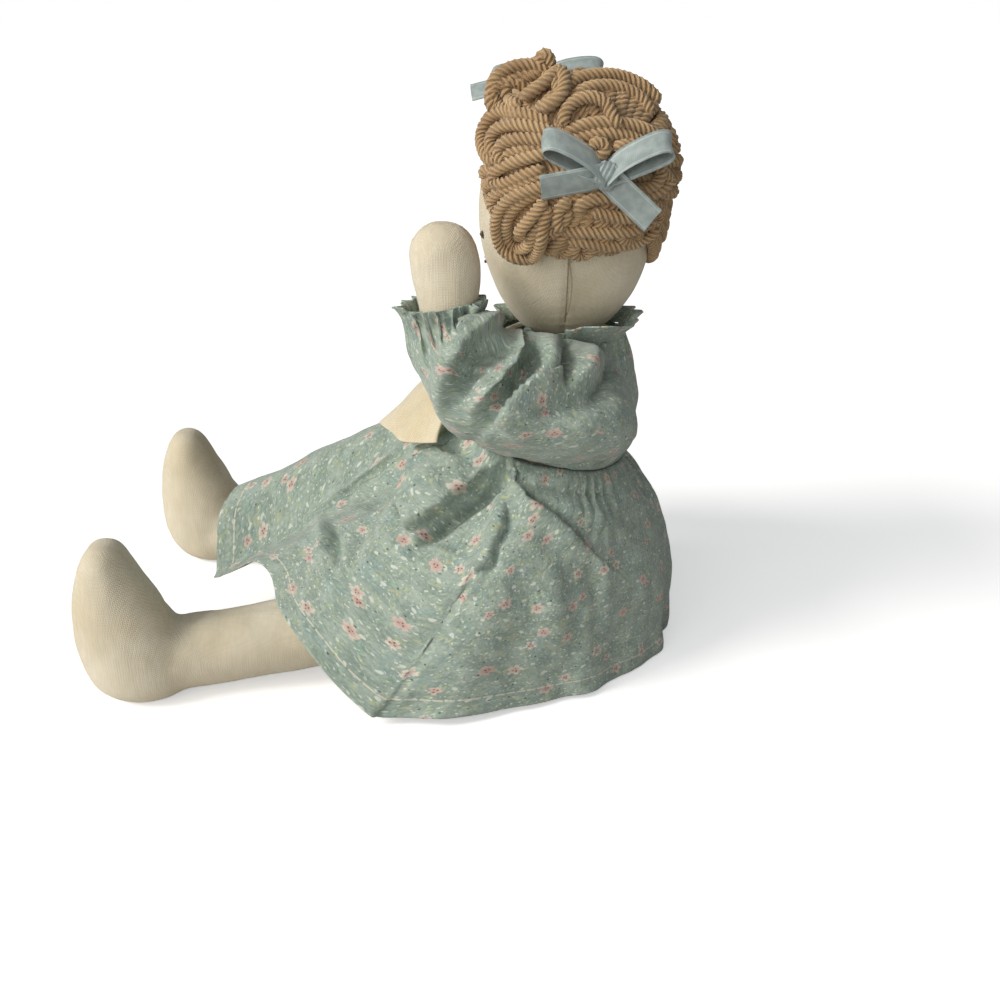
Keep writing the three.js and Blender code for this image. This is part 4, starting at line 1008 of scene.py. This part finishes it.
# The bib lies on the dress, so it moves out wherever a fold of the dress stands further out
chest_y, looked_in, looked_out, bib_gap = -12, 2.5, 12, 1.6


def from_chest(spot):
    return Vector((spot.x, spot.y - chest_y * millimetre, 0)).normalized()


lifts = [0.0] * len(bib.data.vertices)
for name in ("dress_bodice_cloth", "skirt_left_cloth", "skirt_right_cloth"):
    cloth = bpy.data.objects[name].data
    dress = BVHTree.FromPolygons([vert.co for vert in cloth.vertices],
                                 [face.vertices for face in cloth.polygons])
    for vert in bib.data.vertices:
        way = from_chest(vert.co)
        start = vert.co - looked_in * millimetre * way
        for _ in range(4):
            hit = dress.ray_cast(start, way, looked_out * millimetre)[0]
            if hit is None:
                break
            lifts[vert.index] = max(lifts[vert.index], (hit - vert.co).dot(way) + bib_gap * millimetre)
            start = hit + 0.05 * millimetre * way
# Each lift spreads to the corners round it, so that the bib stays smooth
for _ in range(14):
    near = [[lift] for lift in lifts]
    for edge in bib.data.edges:
        a, b = edge.vertices
        near[a].append(lifts[b])
        near[b].append(lifts[a])
    lifts = [max(lift, 0.97 * sum(around) / len(around)) for lift, around in zip(lifts, near)]
for vert, lift in zip(bib.data.vertices, lifts):
    vert.co += lift * from_chest(vert.co)
thicken(bib, 0.7)
fasten(bib, "body", "bib_muslin", "bib")

# Hair
# Cotton yarn of four plies, sewn down along a centre parting and swept to a bunch of loops on each side.
# A padded core under each bunch keeps its loops full; it is coloured as a darker copy of the yarn, painted
# shade that shows between the loops.


def yarn_material(name, lit, deep):
    """Twisted cotton: painted shade in the grooves between the plies, pale fibres and an uneven dye along its
    length.
    """
    paint = Paint(name)
    across, along, _ = paint.split(paint.sewn_place())
    # Where the grooves between the plies lie: they are sunk by the bump and darkened with painted shade
    groove = paint.edge(paint.math("PINGPONG", across, 0.5), 0.06, 0.34)
    streaks = paint.node("CombineXYZ", {"X": paint.times(across, 7), "Y": paint.times(along, 0.5)}).outputs[0]
    fibres = paint.noise(streaks, scale=1.3, detail=4)
    patches = paint.node("CombineXYZ", {"Y": paint.times(along, 0.06)}).outputs[0]
    dye = paint.noise(patches, scale=1, detail=2)
    colour = paint.over(paint.edge(dye, 0.7, 0.3), tone(lit), tone(deep))
    colour = paint.over(paint.times(paint.edge(fibres, 0.72, 0.4), 0.4), colour, tone("e6cfa8"))
    # Painted shade: the grooves between the plies are coloured darker
    colour = paint.over(paint.times(groove, 0.6), colour, tone("7a5c38"))
    rise = paint.math("MULTIPLY_ADD", fibres, 0.6, paint.times(groove, -0.9))
    return paint.finish({
        "Base Color": colour, "Normal": paint.bump(rise, strength=0.7, distance=0.0004),
        "Roughness": 0.86, "Sheen Weight": 0.3, "Sheen Roughness": 0.6})


yarn = yarn_material("cotton yarn", "c6a475", "a68152")
yarn_radius = 2.0


def lay_yarn(shape, path, radius=yarn_radius, start=0.0):
    """One strand of four twisted plies along a smooth path of places in millimetres."""
    ring_gap, twist_length, end_length, corners = 0.85, 6.8, 1.6, 16
    coarse = [along_line(path, k / (6 * len(path))) for k in range(6 * len(path) + 1)]
    reach = [0.0]
    for before, after in zip(coarse, coarse[1:]):
        reach.append(reach[-1] + (after - before).length)
    rings = max(4, round(reach[-1] / ring_gap))
    line = numpy.array(coarse)
    steps = numpy.linspace(0, reach[-1], rings + 1)
    middles = numpy.column_stack([numpy.interp(steps, reach, line[:, axis]) for axis in range(3)])
    ways = numpy.gradient(middles, axis=0)
    ways /= numpy.linalg.norm(ways, axis=1)[:, None]
    side = numpy.cross(ways[0], (0.3, 0.5, 0.81))
    sides = []
    for way in ways:
        side = side - way * side.dot(way)
        side /= numpy.linalg.norm(side)
        sides.append(side)
    sides = numpy.array(sides)
    ups = numpy.cross(ways, sides)
    turn = (numpy.linspace(0, 2 * math.pi, corners + 1)[None, :]
            + (steps * 2 * math.pi / twist_length)[:, None])
    plies = numpy.abs(numpy.sin(numpy.linspace(0, 4 * math.pi, corners + 1)))
    lobes = radius * (0.78 + 0.24 * plies)[None, :]
    from_end = numpy.minimum(steps, reach[-1] - steps) / end_length
    taper = numpy.sqrt(numpy.clip(from_end, 0.0004, 1))[:, None]
    spots = (middles[:, None, :] + sides[:, None, :] * (numpy.cos(turn) * lobes * taper)[:, :, None]
             + ups[:, None, :] * (numpy.sin(turn) * lobes * taper)[:, :, None])
    plan = shape.loops.layers.uv.get("cloth") or shape.loops.layers.uv.new("cloth")
    made = bmesh.ops.create_grid(shape, x_segments=corners, y_segments=rings, size=0.5)["verts"]
    for face in {face for vert in made for face in vert.link_faces}:
        for loop in face.loops:
            across, along = loop.vert.co.x + 0.5, loop.vert.co.y + 0.5
            loop[plan].uv = (across * 4, start + along * reach[-1])
    for vert in made:
        column, row = round((vert.co.x + 0.5) * corners), round((vert.co.y + 0.5) * rings)
        vert.co = spots[row, column] * millimetre


# Strands are laid out round this middle, and each bunch moves them to its own
laid_round = Vector((31, 3, 170))


class Bunch:
    """The padded side of the head that a bunch of loops lies on."""

    def __init__(self, side, middle):
        self.side, self.middle = side, Vector(middle)

    def half(self, lift):
        """Half the bunch's size, to the middle of a strand that is lifted so far."""
        return Vector((16, 31, 28)) - Vector([yarn_radius] * 3) + Vector([lift] * 3)

    def under(self, y, z, lift=0.0):
        """The place on the bunch's outer side over a place in side view; past its edge it wraps under."""
        half = self.half(lift)
        across, up = (y - laid_round.y) / half.y, (z - laid_round.z) / half.z
        far = math.hypot(across, up)
        rim = 0.97
        if far < rim:
            out = math.sqrt(1 - far * far)
        else:
            out = 0.243 - 1.6 * (far - rim)
            across, up = across / far * min(far, 1.0), up / far * min(far, 1.0)
        return Vector((self.side * (self.middle.x + half.x * out),
                       self.middle.y + half.y * across, self.middle.z + half.z * up))

    def seen(self, px, py, lift=0.0):
        """The place on the bunch behind a spot in the lens's picture."""
        aside, down = (px - picture_middle) / picture_scale, (py - picture_middle) / picture_scale
        way = Vector((drop_share * down - level_share, aside, -drop_share - level_share * down))
        eye = eye_place - laid_round
        half = self.half(lift)
        start = Vector(eye[k] / half[k] for k in range(3))
        ray = Vector(way[k] / half[k] for k in range(3))
        near = -start.dot(ray) / ray.dot(ray)
        inside = start.dot(ray) ** 2 - ray.dot(ray) * (start.dot(start) - 1)
        far = near - math.sqrt(max(inside, 0)) / ray.dot(ray)
        spot = eye + way * far
        return Vector((self.side * (spot.x + self.middle.x), spot.y + self.middle.y, spot.z + self.middle.z))


def ellipse(middle, wide, tall, turns, share=1.0):
    steps = 18
    return [(middle[0] + wide * math.cos(turns + share * 2 * math.pi * k / steps),
             middle[1] + tall * math.sin(turns + share * 2 * math.pi * k / steps)) for k in range(steps + 1)]


# Strands that show: how far they stand up, and their way in spots of the lens's picture
laid_strands = [
    (-0.6, ellipse((510, 99), 20, 18, 1.0)),
    (0.6, ellipse((527, 90), 36, 25, 0.4)),
    (2.0, ellipse((532, 91), 27, 17, 2.0, 0.92)),
    (3.4, [(520, 98), (530, 93), (545, 82), (558, 71), (564, 76), (563, 92), (552, 104), (540, 108)]),
    (2.6, [(512, 88), (520, 80), (534, 74), (546, 70)]),
    (1.6, [(541, 104), (550, 100), (556, 92)]),
    (1.2, [(497, 164), (486, 156), (481, 138), (487, 121), (502, 112), (522, 114), (552, 124)]),
    (1.8, [(494, 158), (490, 142), (496, 130), (510, 125), (530, 127), (556, 133)]),
    (2.4, [(503, 166), (498, 152), (504, 143), (520, 139), (548, 141)]),
    (1.2, [(508, 168), (505, 158), (512, 152), (530, 149), (552, 151)]),
    (2.0, [(550, 153), (528, 158), (506, 165), (494, 173), (493, 182), (504, 184), (524, 176), (546, 168)]),
    (1.6, [(548, 172), (522, 184), (500, 192), (492, 200), (494, 209), (506, 208), (520, 199), (540, 188)]),
    (0.4, [(552, 178), (524, 192), (508, 203)]),
    (2.8, [(548, 186), (524, 192), (506, 202), (496, 220), (499, 244), (514, 258), (532, 258),
      (541, 243), (543, 225), (550, 206)]),
    (3.4, [(516, 236), (524, 226), (536, 212), (546, 198)]),
    (1.6, [(548, 190), (524, 200), (509, 216), (507, 236), (516, 248), (528, 246), (534, 232), (548, 214)]),
    (1.0, [(560, 206), (550, 214), (549, 228), (556, 232), (562, 224), (570, 208)]),
    (2.2, [(572, 200), (560, 208), (557, 222), (562, 232)]),
    (1.8, [(574, 213), (584, 203), (600, 198), (622, 199), (636, 208), (630, 218), (610, 216), (590, 212)]),
    (0.6, [(561, 231), (584, 232), (612, 233), (640, 228), (656, 214)]),
    (0.0, [(567, 240), (590, 243), (616, 246), (640, 242), (660, 226)]),
    (1.4, [(566, 100), (566, 88), (577, 79), (598, 75), (622, 77), (646, 88), (660, 104)]),
    (0.6, [(572, 108), (580, 92), (600, 86), (624, 89), (642, 100), (652, 116)]),
    (2.6, [(563, 128), (565, 113), (574, 102), (590, 97), (606, 103), (613, 118), (622, 128)]),
    (1.6, [(562, 136), (578, 127), (600, 123), (624, 124), (650, 132), (666, 148)]),
    (1.2, [(566, 142), (584, 137), (606, 133), (630, 137), (654, 150), (668, 166)]),
    (2.6, [(572, 141), (584, 150), (596, 158), (606, 150), (600, 143), (588, 145)]),
    (2.0, [(612, 150), (632, 144), (652, 152), (662, 170), (654, 186), (632, 190), (616, 186)]),
    (1.2, [(618, 166), (640, 160), (658, 168), (672, 184)]),
    (1.4, [(618, 192), (644, 196), (662, 190), (674, 176)]),
    (0.8, [(540, 68), (541, 58), (545, 54), (549, 59), (552, 69)]),
]
# A loop under them, as share of the way out from the tie and how far to one side
petal = ((0.1, -0.4), (0.4, -0.7), (0.7, -0.9), (0.93, -1), (1.04, -0.5), (1.04, 0.5), (0.93, 1),
         (0.7, 0.9), (0.4, 0.7), (0.1, 0.4))
tie_y, tie_z = 9, 171
random.seed(11)
for side, name, middle in ((1, "left", (31, 3, 170)), (-1, "right", (31, 3, 166.4))):
    bunch = Bunch(side, middle)
    shape = bmesh.new()
    # Loops laid out from the tie like petals, under the ones that show
    for k in range(25):
        turn = 2 * math.pi * (k + random.uniform(-0.15, 0.15)) / 25
        lean, wide = random.uniform(-0.2, 0.2), random.uniform(0.075, 0.1)
        # The lowest loops are shorter, so that the cheek shows under them
        reach = 0.87 if math.sin(turn) < -0.35 and math.cos(turn) > -0.5 else 1
        path = []
        for far, aside in petal:
            far *= reach
            way = turn + aside * wide * (1.1 + 0.6 * (1 - far)) + lean * far
            if far < 1:
                y = tie_y + (laid_round.y + 30 * math.cos(way) - tie_y) * far
                z = tie_z + (laid_round.z + 27 * math.sin(way) - tie_z) * far
            else:
                y = laid_round.y + 31 * far * math.cos(way)
                z = laid_round.z + 28 * far * math.sin(way)
            path.append(bunch.under(y, z, random.uniform(-1.2, -0.4)))
        lay_yarn(shape, path, start=40 * k)
    for k, (lift, way) in enumerate(laid_strands):
        lay_yarn(shape, [bunch.seen(*spot, lift) for spot in way], start=1300 + 70 * k)
    # Yarn swept out over the core's rim, all the way round
    for k in range(42):
        turn = 2 * math.pi * (k + random.uniform(-0.2, 0.2)) / 42
        path = []
        for out, wide in ((-1.12, 0.62), (-0.9, 0.8), (-0.45, 0.97), (0, 1), (0.45, 0.9), (0.8, 0.62)):
            path.append((side * (laid_round.x + 12.6 * out), laid_round.y + 27.2 * wide * math.cos(turn),
                         bunch.middle.z + 24.2 * wide * math.sin(turn)))
        lay_yarn(shape, path, start=6000 + 45 * k)
    loops = make_piece("hair_bunch_%s_yarn" % name, closed(shape), yarn)
    fasten(loops, "head", "yarn", "hair_bunch_" + name)

    core = bmesh.new()
    bmesh.ops.create_uvsphere(core, u_segments=40, v_segments=24, radius=1)
    for vert in core.verts:
        x, y, z = vert.co
        vert.co = Vector((side * (laid_round.x + 11.5 * x), laid_round.y + 26.5 * y,
                          bunch.middle.z + 23.5 * z)) * millimetre
    # The core's yarn is coloured much darker than the hair: painted shade that shows in the gaps between the
    # loops
    shaded_core_yarn = yarn_material("shaded yarn core " + name, "8b6b45", "745635")
    core_piece = make_piece("hair_bunch_%s_core" % name, closed(core), shaded_core_yarn)
    fasten(core_piece, "head", "yarn", "hair_bunch_" + name)

# The sewn cap: strands from the parting over the crown, each tucked under its bunch
crown_z, flatter_face = 157, 3.4
cap_shape = bmesh.new()
for side in (1, -1):
    for k in range(36):
        turn = math.radians(-63 + 185 * k / 35 + random.uniform(-1.2, 1.2))
        start_way = Vector((side * -0.02, math.sin(turn), math.cos(turn)))
        end_way = Vector((side * 0.93, 0.1 + 0.16 * math.sin(turn), 0.3 + 0.16 * math.cos(turn))).normalized()
        path = []
        for step in range(9):
            way = start_way.slerp(end_way, step / 8)
            lift = 0.8 * math.sin(math.pi * step / 8) + random.uniform(-0.25, 0.25)
            deep = 33.2 - flatter_face * min(max(-way.y * 2, 0), 1)
            path.append(Vector((way.x * (34 + lift), way.y * (deep + lift), crown_z + way.z * (38 + lift))))
        lay_yarn(cap_shape, path, start=3500 + 60 * k)
# A row of stitches holds the yarn down along the parting
for k in range(17):
    turn = math.radians(-61 + 10.8 * k)
    path = []
    for step in (0, 0.06, 0.12):
        deep = 35.4 - flatter_face * min(max(-2 * math.sin(turn + step), 0), 1)
        path.append((0.4 * math.sin(k * 2.3), deep * math.sin(turn + step),
                     crown_z + 40.2 * math.cos(turn + step)))
    lay_yarn(cap_shape, path, radius=0.7, start=8000 + 9 * k)
hair_cap = make_piece("hair_cap_yarn", closed(cap_shape), yarn)
fasten(hair_cap, "head", "yarn", "hair_cap")

# Ribbon bows
# Narrow pale blue satin ribbon, tied to each bunch of hair: two loops, two tails and a knot.
# The woven edges show as fine lines along both sides.

ribbon_width = 8.6


def ribbon_material(name):
    paint = Paint(name)
    flat = paint.scale(paint.sewn_place(), 1 / millimetre)
    across, along, _ = paint.split(flat)
    from_edge = paint.math("PINGPONG", across, ribbon_width / 2)
    selvedge = paint.edge(paint.math("ABSOLUTE", paint.math("SUBTRACT", from_edge, 0.9)), 0.12, 0.3)
    rib = paint.math("PINGPONG", along, 0.22)
    cloudy = paint.noise(flat, scale=0.35, detail=3)
    colour = paint.over(paint.edge(cloudy, 0.66, 0.36), tone("93a09e"), tone("a9b4b1"))
    rise = paint.math("MULTIPLY_ADD", selvedge, 0.8, rib)
    return paint.finish({
        "Base Color": paint.over(paint.times(selvedge, 0.45), colour, tone("cdd8d4")),
        "Normal": paint.bump(rise, strength=0.5, distance=0.0002),
        "Roughness": 0.42, "Specular IOR Level": 0.6, "Sheen Weight": 0.25})


satin = ribbon_material("satin ribbon")


def lay_ribbon(shape, path, across_way):
    """A ribbon along a path, lying across the given way, in millimetres."""
    def place(across, along):
        cup = 0.5 * math.cos(math.pi * (across - 0.5)) - 0.25
        return (along_line(path, along) + across_way * (across - 0.5) * ribbon_width
                + heading(path, along).cross(across_way) * cup)

    reach = sum((Vector(after) - Vector(before)).length for before, after in zip(path, path[1:]))
    woven(10, 44, place, cut=(ribbon_width, reach), shape=shape)


# One side of a bow: how far along the loop, how far up with its opening, and how far out from the knot
loop_line = ((0, 0, 0.6), (0.3, 0.8, 0), (0.68, 1, 0), (0.96, 0.75, 0), (1.06, 0, 0), (0.96, -0.55, 0),
             (0.6, -0.5, 0), (0.25, -0.3, 0), (0, 0, -0.6))
tail_line = ((0, 0), (0.3, 1.2), (0.65, 0.5), (1, 0))


def tie_bow(name, knot, out, loops, tails):
    """A bow tied at its knot: loops are (end, across way, opening) and tails (end, across way), in
    millimetres."""
    shape = bmesh.new()
    knot, out = Vector(knot), Vector(out).normalized()
    for end, across_way, open_by in loops:
        end, across_way = Vector(end), Vector(across_way).normalized()
        lift = across_way.cross(end).normalized()
        lift *= open_by * (1 if lift.dot(out) > 0 else -1)
        path = [knot + end * along + lift * up + out * above for along, up, above in loop_line]
        lay_ribbon(shape, path, across_way)
    for end, across_way in tails:
        path = [knot + Vector(end) * along + out * above for along, above in tail_line]
        lay_ribbon(shape, path, Vector(across_way).normalized())
    # The knot: one turn of the ribbon over the middle, pinched into creases
    along_bow = Vector(loops[0][0]).normalized()
    across_bow = out.cross(along_bow).normalized()

    def knot_place(across, along):
        turn = 2 * math.pi * along
        crease = 0.25 * math.cos(9 * across * math.pi)
        swell = 1 - 0.25 * (2 * across - 1) ** 2
        return (knot + along_bow * (across - 0.5) * 6 + across_bow * math.cos(turn) * (3.9 * swell + crease)
                + out * (math.sin(turn) * (2.3 * swell + crease) + 0.6))

    woven(14, 30, knot_place, cut=(ribbon_width, 22), shape=shape)
    bow = make_piece("bow_%s_ribbon" % name, shape, satin)
    thicken(bow, 0.25, offset=0)
    fasten(bow, "head", "satin", "bow_" + name)


tie_bow("left", (49.6, 9, 171), (1, 0, 0),
        [((1, -17, 9), (0.75, -0.05, -0.62), 3.2), ((1, 17, 8), (0.75, 0.05, -0.62), 3.2)],
        [((1.5, -18.5, -3.4), (-0.5, 0.12, -0.84)), ((0.5, 14, -12.5), (-0.4, -0.5, -0.76))])
tie_bow("right", (-27, -5, 193.6), (-0.35, 0, 0.94),
        [((-1, 18, 1.5), (0.86, 0, -0.5), 3.2), ((-1, -18, -1), (0.86, 0, -0.5), 3.2)],
        [((-6, -26, -5.5), (0.8, 0.1, -0.55)), ((-11, 13, -4), (0.7, 0.5, 0.3))])

# Elastics
# Thin covered elastic is threaded through the neck casing and both cuffs, and draws the cloth in.
# Each length of it is closed into a ring.

elastic_cotton = muslin_material("covered elastic", "ece6d8", "ded6c4", bump=0.1)


def elastic_ring(name, node, body, middle, way, radius):
    thick = 0.85
    ahead = Vector(way).normalized()
    side = ahead.orthogonal().normalized()
    up = ahead.cross(side)

    def place(across, along):
        turn, around = 2 * math.pi * along, 2 * math.pi * across
        waver = 0.25 * math.sin(9 * turn)
        out = side * math.cos(turn) + up * math.sin(turn)
        return (Vector(middle) + out * (radius + thick * math.cos(around) + waver)
                + ahead * thick * math.sin(around))

    piece = make_piece(name, closed(woven(10, 90, place, cut=(5, 6.3 * radius))), elastic_cotton)
    fasten(piece, body, "elastic", node)


elastic_ring("neck_elastic_cord", "neck_elastic", "body", (0, 0, 111.2), (0, 0, 1), 19.6)
elastic_ring("cuff_elastic_left_cord", "cuff_elastic_left", "arm_left", (34, -37, 126), (0, 0, 1), 9.6)
hanging_way = Vector(hanging_line[-1]) - Vector(hanging_line[-2])
elastic_ring("cuff_elastic_right_cord", "cuff_elastic_right", "arm_right", hanging_line[-2], hanging_way, 9.7)

# Face
# Two knotted eyes of dark thread and a curved back-stitched mouth.
# A loose end of sewing thread hangs from the hair beside the seam.

eye_thread = yarn_material("dark thread", "3c2f28", "2c211c")
mouth_thread = yarn_material("rose thread", "a9655b", "96564d")
seam_thread = yarn_material("seam thread", "cdbf9f", "b5a685")
face_half, face_deep, face_tall, face_z = 31, 27.8, 39.6, 152.6


def on_head(x, z, lift=0.0):
    """A place on the face, over a place in front view."""
    tall = (z - face_z) / face_tall
    y = -face_deep * math.sqrt(max(0, 1 - (x / face_half) ** 2 - tall ** 2))
    way = Vector((x / face_half ** 2, y / face_deep ** 2, tall / face_tall)).normalized()
    return Vector((x, y, z)) + way * lift


def stitch_piece(name, paths, material, radius):
    shape = bmesh.new()
    for k, path in enumerate(paths):
        lay_yarn(shape, path, radius=radius, start=30 * k)
    piece = make_piece(name, closed(shape), material)
    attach(piece, "head")


eyes = []
for x in (-7.6, 7.6):
    for k in range(5):
        aside = (k - 2) * 0.5
        eyes.append([on_head(x + aside, 147.6 + 0.25 * abs(k - 2) - 2.2, -0.2),
                     on_head(x + aside * 1.1, 146.8, 0.6),
                     on_head(x + aside, 148.6 - 0.25 * abs(k - 2), -0.2)])
stitch_piece("eye_stitches", eyes, eye_thread, 0.36)
mouth = []
for k in range(5):
    start, end = -4 + 1.65 * k, -4 + 1.65 * (k + 0.86)
    mouth.append([on_head(x, 136.4 + 0.1 * x * x, lift)
                  for x, lift in ((start, -0.15), ((start + end) / 2, 0.6), (end, -0.15))])
stitch_piece("mouth_stitches", mouth, mouth_thread, 0.36)
seam_line = [Vector((31.2 * math.sqrt(max(0, 1 - ((z - face_z) / 39.9) ** 2)), 0.2, z))
             for z in (114.6, 120, 127, 136, 144, 152)]
stitch_piece("head_seam_thread", [seam_line, [Vector((-spot.x, spot.y, spot.z)) for spot in seam_line]],
             yarn_material("sewing thread", "b8aa8a", "9c8d6c"), 0.22)
loose_line = [(30.4, -0.4, 146), (31.4, 0.6, 141.5), (30.6, 1.4, 136), (28.4, 1.1, 129.5),
              (25.8, 0.3, 124.5)]
stitch_piece("loose_thread", [loose_line], seam_thread, 0.28)
